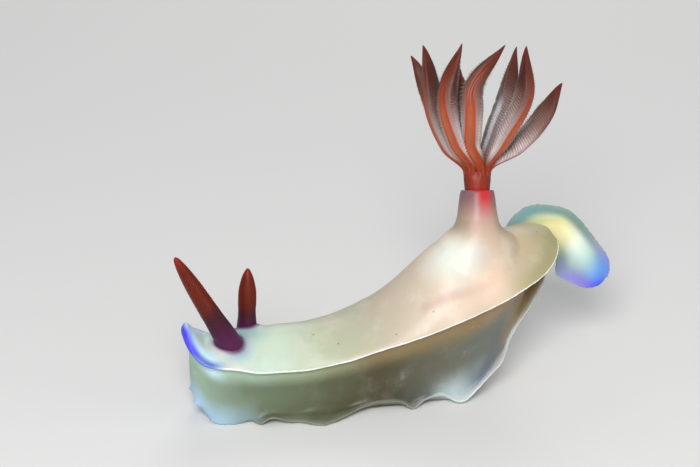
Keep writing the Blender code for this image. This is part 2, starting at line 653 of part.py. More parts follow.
def main():
    for old in list(bpy.data.objects):
        bpy.data.objects.remove(old)
    parts, cutters = new_collection("hypselodoris"), new_collection("cutters")
    mantle_room = make_mantle(parts, cutters)
    foot_room = make_foot(parts, cutters)
    head_room = make_trunk(parts, cutters, foot_room)
    make_mouth_tentacles(parts, head_room)
    make_rhinophores(parts, mantle_room)
    make_pocket(parts, mantle_room)
    top, axis = make_stem(parts)
    make_crown(top, axis, parts)


main()
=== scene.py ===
"""Looks of the sea slug Hypselodoris bullockii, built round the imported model.

The slug faces -X with its left side towards -Y. Shapes are worked out in millimetres, and become
metres where an object is made. The named sizes and curves of the body are those of the model's source.
"""

import math

import bmesh
import bpy
import numpy as np
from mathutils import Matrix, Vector, kdtree, noise


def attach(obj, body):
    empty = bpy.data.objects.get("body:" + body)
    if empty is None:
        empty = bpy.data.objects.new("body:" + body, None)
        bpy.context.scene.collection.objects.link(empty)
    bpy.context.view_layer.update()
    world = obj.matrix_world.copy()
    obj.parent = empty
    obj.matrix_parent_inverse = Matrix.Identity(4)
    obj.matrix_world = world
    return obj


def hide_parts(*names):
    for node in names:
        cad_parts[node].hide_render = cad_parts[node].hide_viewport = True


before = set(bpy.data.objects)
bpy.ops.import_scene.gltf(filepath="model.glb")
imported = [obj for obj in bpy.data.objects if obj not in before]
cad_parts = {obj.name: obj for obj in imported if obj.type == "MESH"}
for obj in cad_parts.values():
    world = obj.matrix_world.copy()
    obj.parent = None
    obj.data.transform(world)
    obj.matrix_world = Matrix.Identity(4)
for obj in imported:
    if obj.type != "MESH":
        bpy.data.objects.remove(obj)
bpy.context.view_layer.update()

MM = 0.001

# Body
BROW_X, LOBE_X = -18.9, 24.9
BROW_ROUND, LOBE_ROUND = 3.0, 8.0
FACE_X, TRUNK_END_X = -18.2, 22.0
FACE_ROUND, END_ROUND = 4.4, 2.4
CHIN_RISE, WAIST, FOOT_OVERLAP = 2.4, 0.45, 0.25
MOUTH = (-17.7, 0.1, 2.3)
RIM_THICK = 0.5
MARGIN_THICK = 0.42
SOLE_SHARE = 0.62
FOOT_FRONT_ROUND, TAIL_ROUND = 2.6, 3.2
ARCH_POINTS, UNDER_POINTS, FOOT_POINTS = 61, 31, 45
SIDE_POINTS, SAMPLED_POINTS = 24, 20
UNDER_MARKS = (-0.95, -0.85, -0.7, 0.7, 0.85, 0.95)

# Skin
VOXEL = 0.17
PULL, PUSH_BACK = 0.55, -0.42
BLUR_ROUNDS, SOFT_ROUNDS = 4, 5
EDGE_ROUNDS, EDGE_BACK = 12, -0.57
TAIL_ROUNDS, TAIL_BACK = 24, -0.5
FOLD_ROUNDS, FLARE_REACH = 48, 6.6
CREASE_ROUNDS, CREASE_BACK = 34, 0.4
RIPPLES = ((0.22, 0.10), (0.75, 0.03), (2.6, 0.006))
FAR = 99.0
STREAK_MARKS = ((7.6, -0.72), (9.5, -0.76), (11.0, -0.78), (12.5, -0.8), (14.0, -0.79), (15.0, -0.74))

# Gill
POCKET_FOOT = (14.7, 0.2, 16.1)
POCKET_RIM = (15.25, 2.75, 22.8)
RIM_RADIUS, POCKET_WALL, POCKET_DEPTH = 1.95, 0.38, 4.6
POCKET_ROWS, POCKET_INNER_ROWS, POCKET_SIDES = 34, 16, 48
FLARE_RISE = 6.0
STEM_RADIUS, STEM_RISE = 1.65, 1.9
STEM_LOW, STEM_TOP = 0.4 - POCKET_DEPTH, STEM_RISE + 1.7
STEM_ROWS, STEM_SIDES = 80, 96
CROWN_TURN = 13.0
ROOT_RING = 1.3
PETAL_RINGS, PETAL_SIDES = 120, 44
LEAF_PAIRS = 98
LEAF_RISE, LEAF_THICK, LEAF_LEAN = 0.42, 0.09, 0.35
LEAF_START, LEAF_END, LEAF_MARKS = 38, -88, 13
LONG_LEAF, SHORT_LEAF = 1.08, 0.68
FIRST_LEAF, LAST_LEAF = 0.08, 0.89
LEAF_SUNK = -0.12

# Rhinophores
RHINOPHORES = {
    "left": ((-14.1, -0.8, 9.1), (-19.6, -0.9, 19.3), 1.12, 0.1),
    "right": ((-11.3, 2.3, 8.6), (-11.0, 2.6, 15.8), 1.0, 1.0),
}
CLUB_FOOT = 0.34
CLUB_LEAVES = 26
CLUB_SUNK = 1.3
CLUB_ROWS, CLUB_SIDES = 330, 56
SHEATH_SHARE, SHEATH_SIDES = 1.16, 40
SHEATH_PROFILE = ((1.3, -0.34), (1.0, -0.12), (0.6, 0.05), (0.3, 0.16), (0.12, 0.3), (0.02, 0.46),
                  (-0.3, 0.5))

# Camera
CAMERA_TURN, CAMERA_RISE, CAMERA_FAR, CAMERA_LENS = 13.0, 22.0, 250.0, 117.0
CAMERA_AIM = (0.0, 0.0, 20.0)


def curve_of(*knots):
    """A smooth function through (t, value) knots that doesn't overshoot them.

    A value is a number or a point.
    """
    t = np.array([knot[0] for knot in knots], float)
    v = np.array([np.atleast_1d(knot[1]) for knot in knots], float)
    step = np.diff(t)[:, None]
    slope = np.diff(v, axis=0) / step
    tangent = np.empty_like(v)
    tangent[0], tangent[-1] = slope[0], slope[-1]
    before, after = slope[:-1], slope[1:]
    weight_a, weight_b = 2 * step[1:] + step[:-1], step[1:] + 2 * step[:-1]
    turning = before * after <= 0
    safe_before, safe_after = np.where(turning, 1.0, before), np.where(turning, 1.0, after)
    mean = (weight_a + weight_b) / (weight_a / safe_before + weight_b / safe_after)
    tangent[1:-1] = np.where(turning, 0.0, mean)

    def value(x):
        x = np.asarray(x, float)
        i = np.clip(np.searchsorted(t, x) - 1, 0, len(t) - 2)
        width = np.expand_dims(t[i + 1] - t[i], -1)
        s = np.clip(np.expand_dims(x - t[i], -1) / width, 0.0, 1.0)
        rise = s * s * (3 - 2 * s)
        out = v[i] * (1 - rise) + v[i + 1] * rise
        out = out + width * s * (1 - s) * (tangent[i] * (1 - s) - tangent[i + 1] * s)
        return out if v.shape[1] > 1 else out[..., 0]

    return value


def smooth(low, high, x):
    s = np.clip((x - low) / (high - low), 0.0, 1.0)
    return s * s * (3 - 2 * s)


def unit(v):
    v = np.asarray(v, float)
    return v / np.linalg.norm(v)


left_rim = curve_of(
    (-18.9, 10.0), (-18.6, 9.0), (-18.1, 8.2), (-17.3, 7.5), (-16, 7.0), (-13.4, 6.6), (-10.6, 6.0),
    (-6.4, 6.0), (-1.6, 6.8), (3, 8.1), (6.7, 9.1), (11.6, 10.7), (15.5, 12.1), (19.5, 13.7),
    (22.4, 14.5), (24.2, 15.3), (24.9, 15.9))
right_rim = curve_of(
    (-18.9, 10.0), (-18.4, 9.8), (-17, 8.8), (-15, 7.8), (-10.6, 7.0), (-6.4, 7.2), (-1.6, 8.2), (3, 9.8),
    (7, 11.6), (12, 14.0), (16, 15.6), (19.7, 16.5), (22.6, 17.1), (24.2, 16.9), (24.9, 15.9))
crest = curve_of(
    (-18.9, 10.1), (-18.4, 10.7), (-17.8, 10.1), (-17, 9.1), (-16.1, 8.5), (-15, 8.5), (-11.9, 9.0),
    (-7.9, 9.3), (-1.8, 9.2), (1.8, 10.1), (3.9, 11.2), (5.9, 12.8), (8.5, 15.5), (10.5, 17.2),
    (13, 17.9), (16, 17.9), (18.5, 17.5), (21, 17.1), (24.9, 16.0))
mantle_y = curve_of(
    (-18.9, 0.3), (-12, 0.1), (-4, -0.1), (7, 0.0), (14, 0.4), (19.7, 1.0), (22.4, 1.8), (24.9, 2.9))
mantle_wide = curve_of(
    (-18.9, 3.6), (-12, 3.9), (-6.4, 4.2), (-1.6, 4.7), (4, 5.2), (9, 5.6), (14, 5.8), (24.9, 5.6))
arch_power = curve_of((-18.9, 1.4), (-13, 0.85), (0, 0.75), (12, 0.8), (17, 1.0), (24.9, 1.4))
rim_inset = curve_of((-18.2, 0.9), (-14, 0.6), (0, 0.45), (14, 0.5), (18, 1.0), (22, 2.0))
trunk_foot = curve_of(
    (-18.2, 3.6), (-15.5, 4.5), (-12.6, 4.4), (-8, 4.3), (-4, 4.1), (4, 4.0), (11, 4.0), (16, 3.8),
    (20, 3.3), (22, 2.6))
FOOT_PATH = (
    ((-12.9, 0.0, 0.0), (0, 1, 0)), ((-6.0, -0.1, 0.0), (0, 1, 0)), ((0.0, -0.1, 0.0), (0, 1, 0)),
    ((6.0, 0.0, 0.0), (0, 1, 0)), ((11.0, 0.1, 0.0), (0, 1, 0)), ((13.8, 0.4, 1.0), (0, 1, 0.05)),
    ((16.0, 1.0, 3.2), (0, 1, 0.1)), ((18.1, 2.0, 6.0), (0, 1, 0.15)), ((19.9, 3.3, 8.8), (-0.1, 1, 0.25)),
    ((21.4, 5.0, 11.2), (-0.2, 0.95, 0.4)), ((22.8, 6.9, 13.4), (-0.2, 0.9, 0.5)),
    ((24.4, 8.0, 15.0), (0.1, 0.85, 0.5)), ((26.4, 7.8, 15.2), (0.5, 0.75, 0.45)),
    ((28.2, 6.7, 13.7), (0.7, 0.6, 0.35)), ((29.6, 5.6, 11.7), (0.75, 0.55, 0.35)),
    ((31.0, 4.6, 8.8), (0.75, 0.55, 0.35)),
)
FOOT_STEPS = np.linalg.norm(np.diff(np.array([p for p, _ in FOOT_PATH]), axis=0), axis=1)
FOOT_LENGTHS = [0.0, *np.cumsum(FOOT_STEPS)]
FOOT_LENGTH = FOOT_LENGTHS[-1]
foot_point = curve_of(*((s, p) for s, (p, _) in zip(FOOT_LENGTHS, FOOT_PATH)))
foot_side = curve_of(*((s, d) for s, (_, d) in zip(FOOT_LENGTHS, FOOT_PATH)))
foot_by_x = curve_of(*((p[0], p) for p, _ in FOOT_PATH))
left_margin = curve_of(
    (0, 4.4), (3, 5.3), (5.5, 5.2), (8.5, 6.4), (11, 5.6), (13, 4.8), (15, 4.4), (19, 4.9), (22, 4.2),
    (25, 5.0), (29, 4.7), (33, 4.6), (37, 4.2), (41, 3.5), (43.5, 3.1), (46, 2.6), (48.5, 2.6),
    (50.3, 3.7), (52.5, 5.2), (54.5, 4.1), (FOOT_LENGTH, 3.1))
right_margin = curve_of(
    (0, 3.9), (3, 4.9), (6.5, 5.6), (10, 4.7), (14, 5.3), (18, 4.5), (22, 4.9), (25, 4.6), (29, 4.8),
    (34, 4.0), (38, 3.4), (41, 3.4), (44, 3.8), (47, 3.5), (49.5, 2.7), (52, 2.5), (54, 2.7),
    (FOOT_LENGTH, 3.2))
left_lift = curve_of(
    (0, 0.8), (1.6, 0.0), (3.0, 0.9), (5, 0.2), (8.5, 0.0), (11.5, 0.4), (15, 1.0), (17.5, 1.0),
    (19, 0.0), (20.5, 0.8), (22.5, 1.0), (24.5, 0.1), (27, 0.7), (30, 0.1), (33, 0.7), (37, 0.3),
    (41, 0.3), (44, 0.0), (47, 0.3), (FOOT_LENGTH, 0.1))
right_lift = curve_of(
    (0, 0.6), (2.2, 0.0), (4, 0.8), (6.5, 0.0), (9, 0.9), (11.5, 0.2), (14, 0.0), (16.5, 1.0), (19, 0.1),
    (21.5, 0.9), (24, 0.1), (26.5, 0.8), (30, 0.2), (33, 0.7), (37, 0.2), (41, 0.4), (44, 0.1), (47, 0.4),
    (FOOT_LENGTH, 0.1))
ridge_height = curve_of(
    (0, 0.9), (3, 1.3), (24, 1.3), (32, 1.5), (38, 1.7), (42, 1.8), (47, 1.5), (FOOT_LENGTH, 0.7))
slender_club = curve_of(
    (0, 0.96), (0.21, 0.88), (0.46, 0.78), (0.71, 0.61), (0.91, 0.38), (0.97, 0.25), (1.0, 0.10))
full_club = curve_of(
    (0, 0.97), (0.15, 1.0), (0.4, 0.98), (0.65, 0.8), (0.85, 0.52), (0.96, 0.26), (1.0, 0.10))
petal_half = curve_of(
    (0, 0.30), (0.08, 0.50), (0.3, 0.80), (0.55, 0.98), (0.75, 0.88), (0.88, 0.56), (0.96, 0.22),
    (1.0, 0.03))
petal_reach = curve_of(
    (0, 0.35), (0.12, 0.6), (0.45, 1.6), (0.65, 1.65), (0.8, 1.25), (0.92, 0.65), (0.98, 0.22),
    (1.0, 0.04))
ridge_apart = curve_of(
    (0, 0.15), (0.1, 0.28), (0.3, 0.46), (0.48, 0.44), (0.62, 0.30), (0.78, 0.14), (0.9, 0.05), (1.0, 0.0))
leaf_share = curve_of(
    (0, 0.1), (0.14, 0.45), (0.35, 0.9), (0.6, 1.0), (0.8, 0.6), (0.92, 0.1), (1.0, 0.0))
CROWN = (
    (12, (4.8, 1.0, 2.5), (8.3, 1.6, 6.4), (9.7, 1.9, 10.0)),
    (60, (1.9, 3.8, 3.6), (4.0, 5.6, 8.7), (4.8, 4.8, 14.3)),
    (108, (-0.8, 3.3, 3.4), (-1.7, 5.0, 7.8), (-1.8, 4.5, 12.4)),
    (155, (-3.2, 2.2, 3.2), (-5.5, 3.9, 8.6), (-7.2, 4.2, 13.3)),
    (195, (-3.6, -0.8, 2.6), (-5.5, -1.4, 7.8), (-6.0, -1.2, 14.1)),
    (240, (-2.5, -2.9, 3.0), (-3.8, -4.3, 8.0), (-1.8, -3.8, 14.1)),
    (285, (-0.9, -3.3, 3.2), (-0.9, -5.0, 8.2), (2.9, -4.2, 13.9)),
    (328, (2.9, -2.4, 3.2), (5.6, -3.8, 9.4), (5.3, -3.2, 13.8)),
)


# Surface of the body

def round_end(distance, radius):
    inward = np.clip(distance / radius, 0.0, 1.0)
    return np.sqrt(1 - (1 - inward) ** 2)


def mantle_half(x):
    return mantle_wide(x) * round_end(x - BROW_X, BROW_ROUND) * round_end(LOBE_X - x, LOBE_ROUND)


def rim_height(x, share):
    return left_rim(x) * (1 - share) / 2 + right_rim(x) * (1 + share) / 2


def back_height(x, share):
    rise = crest(x) - rim_height(x, 0)
    return rim_height(x, share) + rise * np.maximum(1 - share * share, 0.0) ** arch_power(x)


def back_point(x, share):
    return x, mantle_y(x) + mantle_half(x) * share, back_height(x, share)


def under_point(x, share, drop):
    """A point of the mantle's underside or edge, this far below the rim's height."""
    return x, mantle_y(x) + mantle_half(x) * share, rim_height(x, share) - drop


def spread_marks(first, last, count):
    """Marks from first to last, from -1 to 1 or back, closer together near both ends."""
    return np.sin(np.linspace(first, last, count) * math.pi / 2)


def mantle_ring(x):
    ring = [back_point(x, s * 0.996) for s in spread_marks(-1, 1, ARCH_POINTS)]
    for s in spread_marks(1, -1, UNDER_POINTS):
        edge = 0.7 * RIM_THICK * (1 - smooth(0.0, 0.12, 1 - abs(s)))
        ring.append(under_point(x, s, RIM_THICK - edge))
    return ring


def trunk_ring(x, side_points=SIDE_POINTS):
    """The trunk's section, with its top inside the mantle and its bottom inside the foot."""
    share = round_end(x - FACE_X, FACE_ROUND) * round_end(TRUNK_END_X - x, END_ROUND)
    top_half = max(mantle_half(x) - rim_inset(x), 0.3) * share
    low_half = trunk_foot(x) * share
    foot = foot_by_x(x)
    chin = CHIN_RISE * (1 - smooth(FACE_X, FACE_X + 3.0, x)) ** 2
    low_z = foot[2] + chin + (FOOT_OVERLAP if x > FOOT_PATH[0][0][0] else 0.0)
    rows = {-1: [], 1: []}
    for tau in np.linspace(0, 1, side_points):
        half = top_half * (1 - tau) + low_half * tau - WAIST * math.sin(math.pi * tau) * share
        half *= 1 - 0.12 * smooth(0.85, 1.0, tau)
        middle = mantle_y(x) * (1 - tau) + foot[1] * tau
        for side, row in rows.items():
            rim_share = side * top_half / mantle_half(x)
            top_z = rim_height(x, rim_share) - 0.3 * RIM_THICK
            row.append((x, middle + side * half, top_z * (1 - tau) + low_z * tau))
    return rows[1] + rows[-1][::-1]


def foot_frame(length):
    step = 0.05
    low, high = max(length - step, 0.0), min(length + step, FOOT_LENGTH)
    ahead = unit(foot_point(high) - foot_point(low))
    side = foot_side(length)
    side = unit(side - ahead * np.dot(side, ahead))
    return foot_point(length), side, np.cross(ahead, side)


def foot_ring(length):
    middle, side, up = foot_frame(length)
    share = round_end(length, FOOT_FRONT_ROUND) * round_end(FOOT_LENGTH - length, TAIL_ROUND)
    on_tail = smooth(33, 40, length)
    inner, outer = 0.5 * (1 - on_tail), 0.82 - 0.04 * on_tail
    widths = {-1: left_margin(length) * share, 1: right_margin(length) * share}
    lifts = {-1: left_lift(length), 1: right_lift(length)}

    def at(q, height):
        sign = -1 if q < 0 else 1
        lift = lifts[sign] * smooth(SOLE_SHARE, 1.0, abs(q)) * share
        return middle + side * q * widths[sign] + up * (height + lift)

    def top(q):
        rise = 1 - smooth(inner, outer, abs(q))
        edge = 0.35 * MARGIN_THICK * smooth(0.9, 1.0, abs(q))
        return MARGIN_THICK + (max(ridge_height(length), MARGIN_THICK) - MARGIN_THICK) * rise - edge

    span = spread_marks(-1, 1, FOOT_POINTS)
    ring = [at(q * 0.995, top(q)) for q in span]
    ring += [at(q, 0.3 * MARGIN_THICK * smooth(0.92, 1.0, abs(q))) for q in span[::-1]]
    return ring


def stations(low, high, spacing, ends):
    """Even stations from low to high, closer together near rounded ends, given as (end, radius)."""
    found = list(np.linspace(low, high, round((high - low) / spacing) + 1))
    for end, radius in ends:
        inward = 1 if end < (low + high) / 2 else -1
        found = [x for x in found if (x - end) * inward >= radius]
        angles = np.linspace(0.04, math.pi / 2, 22)[:-1]
        found += [end + inward * radius * (1 - math.cos(a)) for a in angles]
    return sorted(float(x) for x in found)


def tube_ring(centre, axis, radius, sides):
    across = unit(np.array((0.0, 1.0, 0.0)) - axis * axis[1])
    other = np.cross(axis, across)
    return [centre + radius * (across * math.cos(a) + other * math.sin(a)) for a in turn_marks(sides)]


def turn_marks(count):
    """Even angles round a full turn."""
    return [2 * math.pi * k / count for k in range(count)]


def add_faces(bm, rows):
    """Faces between each ring of points and the next, and one over each end."""
    count = len(rows[0])
    faces = [bm.faces.new((a[j], a[(j + 1) % count], b[(j + 1) % count], b[j]))
             for a, b in zip(rows, rows[1:]) for j in range(count)]
    return faces + [bm.faces.new(rows[0]), bm.faces.new(rows[-1])]


def add_loft(bm, rings):
    rows = [[bm.verts.new(Vector(p)) for p in ring] for ring in rings]
    bmesh.ops.recalc_face_normals(bm, faces=add_faces(bm, rows))


def pocket_axis():
    foot, rim = np.array(POCKET_FOOT), np.array(POCKET_RIM)
    return foot, rim, unit(rim - foot), np.linalg.norm(rim - foot)


def pocket_rings():
    """The pocket's outer side, which flares into the back at its foot, and then its inner side."""
    foot, _, axis, height = pocket_axis()
    outer = curve_of((-0.1, 5.3), (0.0, 4.8), (0.1, 4.1), (0.22, 3.45), (0.38, 2.75), (0.52, 2.38),
                     (0.72, 2.15), (0.94, RIM_RADIUS), (1.0, RIM_RADIUS - 0.12))
    rings = []
    for t in np.linspace(-0.1, 1.0, POCKET_ROWS):
        risen = smooth(0.0, 0.55, t)
        ring = []
        for high in tube_ring(foot + axis * height * t, axis, outer(t), POCKET_SIDES):
            low = np.array((high[0], high[1], surface_height(high[0], high[1]) + FLARE_RISE * t))
            ring.append(low * (1 - risen) + high * risen)
        rings.append(ring)
    for t in np.linspace(1.0, 1.0 - POCKET_DEPTH / height, POCKET_INNER_ROWS):
        rings.append(tube_ring(foot + axis * height * t, axis, RIM_RADIUS - POCKET_WALL, POCKET_SIDES))
    return rings


def surface_height(x, y):
    """The back's height at a place, or the rim's height beside the mantle."""
    share = np.clip((y - mantle_y(x)) / np.maximum(mantle_half(x), 0.1), -1, 1)
    return back_height(x, share)


def sheath_shell(bm, base, axis, radius):
    """The low collar round the foot of a rhinophore, solid here, and sunk a little in the mantle."""
    rings = []
    for out, height in SHEATH_PROFILE:
        ring = []
        for angle in turn_marks(SHEATH_SIDES):
            x = base[0] + (radius + out) * math.cos(angle) * 1.12 + axis[0] / axis[2] * height
            y = base[1] + (radius + out) * math.sin(angle) + axis[1] / axis[2] * height
            ring.append((x, y, surface_height(x, y) + height))
        rings.append(ring)
    add_loft(bm, rings)


def body_shells():
    """Closed shells of the body's forms, which overlap and are then fused into one skin."""
    bm = bmesh.new()
    mantle_ends = ((BROW_X, BROW_ROUND), (LOBE_X, LOBE_ROUND))
    add_loft(bm, [mantle_ring(x) for x in stations(BROW_X, LOBE_X, 0.4, mantle_ends)])
    trunk_ends = ((FACE_X, FACE_ROUND), (TRUNK_END_X, END_ROUND))
    add_loft(bm, [trunk_ring(x) for x in stations(FACE_X, TRUNK_END_X, 0.4, trunk_ends)])
    foot_ends = ((0.0, FOOT_FRONT_ROUND), (FOOT_LENGTH, TAIL_ROUND))
    add_loft(bm, [foot_ring(s) for s in stations(0.0, FOOT_LENGTH, 0.3, foot_ends)])
    add_loft(bm, pocket_rings())
    for side in (-1, 1):
        root = np.array(MOUTH) + (1.4, side * 1.3, 0.2)
        tip = np.array(MOUTH) + (-0.7, side * 2.1, -0.3)
        marks = ((0, 0.72), (0.5, 0.7), (0.75, 0.6), (0.88, 0.46), (0.96, 0.28), (1.0, 0.12))
        add_loft(bm, [tube_ring(root + (tip - root) * t, unit(tip - root), r, 20) for t, r in marks])
    for base, tip, radius, _ in RHINOPHORES.values():
        base = np.array(base)
        sheath_shell(bm, base, unit(np.array(tip) - base), SHEATH_SHARE * radius)
    return bm


def mesh_arrays(mesh):
    coords = np.empty(len(mesh.vertices) * 3)
    mesh.vertices.foreach_get("co", coords)
    edges = np.empty(len(mesh.edges) * 2, int)
    mesh.edges.foreach_get("vertices", edges)
    return coords.reshape(-1, 3), edges.reshape(-1, 2)


def neighbour_mean(values, edges):
    """The mean of the values at each point's neighbours."""
    total = np.zeros_like(values)
    np.add.at(total, edges[:, 0], values[edges[:, 1]])
    np.add.at(total, edges[:, 1], values[edges[:, 0]])
    return total / np.bincount(edges.ravel(), minlength=len(values))[:, None]


def relax(coords, edges, weight, rounds, back=PUSH_BACK):
    """Moves each point towards the mean of its neighbours by its weight, in turns of PULL and back.

    A back below 0 moves the points partly back again, which keeps the volume.
    """
    for _ in range(rounds):
        for pull in (PULL, back):
            coords = coords + (neighbour_mean(coords, edges) - coords) * weight[:, None] * pull
    return coords


def region_samples():
    """Points on the body's forms, each with what the skin is there.

    That is the mantle's share, the depth down the flank, the share of the way to the foot's margin,
    the length along the foot, and the height up the pocket.
    """
    rows = []
    for x in np.linspace(BROW_X + 0.02, LOBE_X - 0.02, 150):
        rows += [(back_point(x, s), 1, 0, 0, 0, 0) for s in spread_marks(-1, 1, 41)]
        rows += [(under_point(x, s, RIM_THICK), 0, 0, 0, 0, 0) for s in UNDER_MARKS]
    for x in np.linspace(FACE_X + 0.05, TRUNK_END_X - 0.05, 120):
        ring = trunk_ring(x, SAMPLED_POINTS)
        for row in (ring[:SAMPLED_POINTS], ring[SAMPLED_POINTS:][::-1]):
            rows += [(p, 0, k / (SAMPLED_POINTS - 1), 0, 0, 0) for k, p in enumerate(row[2:], 2)]
    for s in np.linspace(0.05, FOOT_LENGTH - 0.05, 170):
        ring, margins = foot_ring(s), np.abs(spread_marks(-1, 1, FOOT_POINTS))
        for points, every in ((ring[:FOOT_POINTS], 1), (ring[FOOT_POINTS:], 3)):
            rows += [(p, 0, 1, q, s / FOOT_LENGTH, 0) for p, q in list(zip(points, margins))[::every]]
    rings = pocket_rings()
    for k, ring in enumerate(rings[:POCKET_ROWS]):
        risen = max((k / (POCKET_ROWS - 1) - 0.1) / 0.9, 0)
        rows += [(p, 1, 0, 0, 0, risen) for p in ring[::2]]
    for ring in rings[POCKET_ROWS:]:
        rows += [(p, 1, 0, 0, 0, 1.2) for p in ring[::3]]
    return rows


def nearest(points, targets):
    tree = kdtree.KDTree(len(targets))
    for i, p in enumerate(targets):
        tree.insert(Vector(p), i)
    tree.balance()
    found = [tree.find(Vector(p)) for p in points]
    return np.array([f[1] for f in found]), np.array([f[2] for f in found])


def polyline(points, step):
    """Even points along a line of points."""
    points = np.array(points)
    lengths = np.concatenate(([0.0], np.cumsum(np.linalg.norm(np.diff(points, axis=0), axis=1))))
    marks = np.arange(0, lengths[-1], step)
    return np.stack([np.interp(marks, lengths, points[:, k]) for k in range(3)], axis=1)


def make_skin():
    bm = body_shells()
    mesh = bpy.data.meshes.new("skin")
    bm.to_mesh(mesh)
    bm.free()
    skin = add_object("skin", mesh)
    remesh = skin.modifiers.new("fuse", "REMESH")
    remesh.mode = "VOXEL"
    remesh.voxel_size = VOXEL
    bpy.context.view_layer.update()
    graph = bpy.context.evaluated_depsgraph_get()
    fused = bpy.data.meshes.new_from_object(skin.evaluated_get(graph))
    skin.modifiers.clear()
    skin.data = fused
    coords, edges = mesh_arrays(fused)
    masks = skin_masks(coords, edges)
    thin = np.maximum(smooth(0.8, 0.2, masks["rim"]), smooth(0.75, 0.95, masks["margin"]))
    thin *= 1 - 0.6 * smooth(0.6, 0.75, masks["length"])
    coords = relax(coords, edges, 1 - 0.7 * thin, SOFT_ROUNDS)
    jagged = np.maximum(smooth(0.5, 0.8, masks["margin"]), 0.6 * smooth(0.9, 0.5, masks["rim"]))
    coords = relax(coords, edges, jagged, EDGE_ROUNDS, EDGE_BACK)
    coords = relax(coords, edges, smooth(0.66, 0.74, masks["length"]), TAIL_ROUNDS, TAIL_BACK)
    coords = settle(coords, masks)
    flare = smooth(0.42, 0.2, masks["pocket"]) * (masks["foot"] < FLARE_REACH)
    fold = np.maximum(smooth(2.6, 1.2, masks["horn"]), flare)
    coords = relax(coords, edges, fold * (masks["rim"] > 0.8), FOLD_ROUNDS)
    crease = smooth(0.6, 0.85, masks["depth"]) * smooth(0.96, 0.8, masks["margin"]) * (coords[:, 2] > 0.45)
    coords = relax(coords, edges, crease, CREASE_ROUNDS, CREASE_BACK)
    coords = ripple(fused, coords, masks)
    coords[:, 2] = np.maximum(coords[:, 2], 0.0)
    fused.vertices.foreach_set("co", (coords * MM).ravel())
    fused.update()
    add_fields(fused, masks)
    fused.shade_smooth()
    return skin


def settle(coords, masks):
    """Puts the back's points on its curved surface, away from the rim, the pocket and the rhinophores."""
    x, y, z = coords.T
    back = surface_height(x, y)
    amount = smooth(0.15, 0.45, masks["rim"]) * smooth(0.05, 0.0, masks["pocket"])
    amount *= smooth(0.6, 1.5, masks["horn"]) * smooth(0.9, 1.0, masks["mantle"])
    amount *= smooth(0.6, 0.3, np.abs(back - z))
    coords[:, 2] += amount * (back - z)
    return coords


def skin_masks(coords, edges):
    """What each point of the skin is: the values of the nearest samples, and distances in millimetres."""
    rows = region_samples()
    index, _ = nearest(coords, [r[0] for r in rows])
    table = np.array([r[1:] for r in rows], float)[index]
    for _ in range(BLUR_ROUNDS):
        table = 0.5 * table + 0.5 * neighbour_mean(table, edges)
    _, rim_distance = nearest(coords, rim_line())
    horn = np.full(len(coords), FAR)
    for base, tip, radius, _ in RHINOPHORES.values():
        axis = unit(np.array(tip) - base)
        away = coords - np.array(base)
        along = away @ axis
        across = np.linalg.norm(away - along[:, None] * axis, axis=1) - SHEATH_SHARE * radius
        horn = np.minimum(horn, np.where(np.abs(along) < 3, across, FAR))
    _, streak_distance = nearest(coords, polyline([back_point(x, s) for x, s in STREAK_MARKS], 0.1))
    foot = np.linalg.norm(coords - np.array(POCKET_FOOT), axis=1)
    masks = dict(zip(("mantle", "depth", "margin", "length", "pocket"), table.T))
    return {**masks, "rim": rim_distance, "horn": horn, "streak": streak_distance, "foot": foot}


def rim_line():
    """Points along the mantle's edge, closer together round the brow and the rear lobe."""
    xs = np.concatenate((np.linspace(BROW_X + 0.001, LOBE_X - 0.001, 260),
                         BROW_X + BROW_ROUND * (1 - np.cos(np.linspace(0, 1.5, 60))),
                         LOBE_X - LOBE_ROUND * (1 - np.cos(np.linspace(0, 1.5, 90)))))
    xs.sort()
    line = []
    for s in (-1, 1):
        line += list(polyline([under_point(x, s, 0.12 * RIM_THICK) for x in xs], 0.12))
    return line


def ripple(mesh, coords, masks):
    """Soft unevenness of living skin, in three sizes."""
    normals = np.empty(len(coords) * 3)
    mesh.vertices.foreach_set("co", coords.ravel())
    mesh.update()
    mesh.vertex_normals.foreach_get("vector", normals)
    normals = normals.reshape(-1, 3)
    sole = coords[:, 2] < 0.25
    push = np.empty(len(coords))
    for i, p in enumerate(coords):
        push[i] = sum(height * noise.noise(Vector(p) * scale) for scale, height in RIPPLES)
    push[sole] = 0
    push *= 1 - 0.8 * (masks["pocket"] > 0.5)
    return coords + normals * push[:, None]


# Rhinophores

def make_rhinophore(side):
    base, tip, radius, full = RHINOPHORES[side]
    base, tip = np.array(base), np.array(tip)
    length = np.linalg.norm(tip - base)
    axis = (tip - base) / length
    front = unit(np.array((-1.0, 0.0, 0.0)) - axis * -axis[0])
    other = np.cross(axis, front)
    bm = bmesh.new()
    rows, shares, leaves = [], [], []
    for i in range(CLUB_ROWS + 1):
        t = i / CLUB_ROWS
        height = -CLUB_SUNK + (length + CLUB_SUNK) * (1 - (1 - t) ** 1.04)
        ring = []
        for angle in turn_marks(CLUB_SIDES):
            slant = 0.55 * math.cos(angle) - 0.12 * abs(math.sin(angle))
            r, leaf = rhinophore_radius(height, slant, length, radius, full, angle)
            p = base + axis * height + r * (front * math.cos(angle) + other * math.sin(angle))
            ring.append(bm.verts.new(Vector(p) * MM))
            shares.append(height / length)
            leaves.append(leaf)
        rows.append(ring)
    add_faces(bm, rows)
    return finish_mesh(f"rhinophore_{side}", bm, {"along": shares, "leaf": leaves})


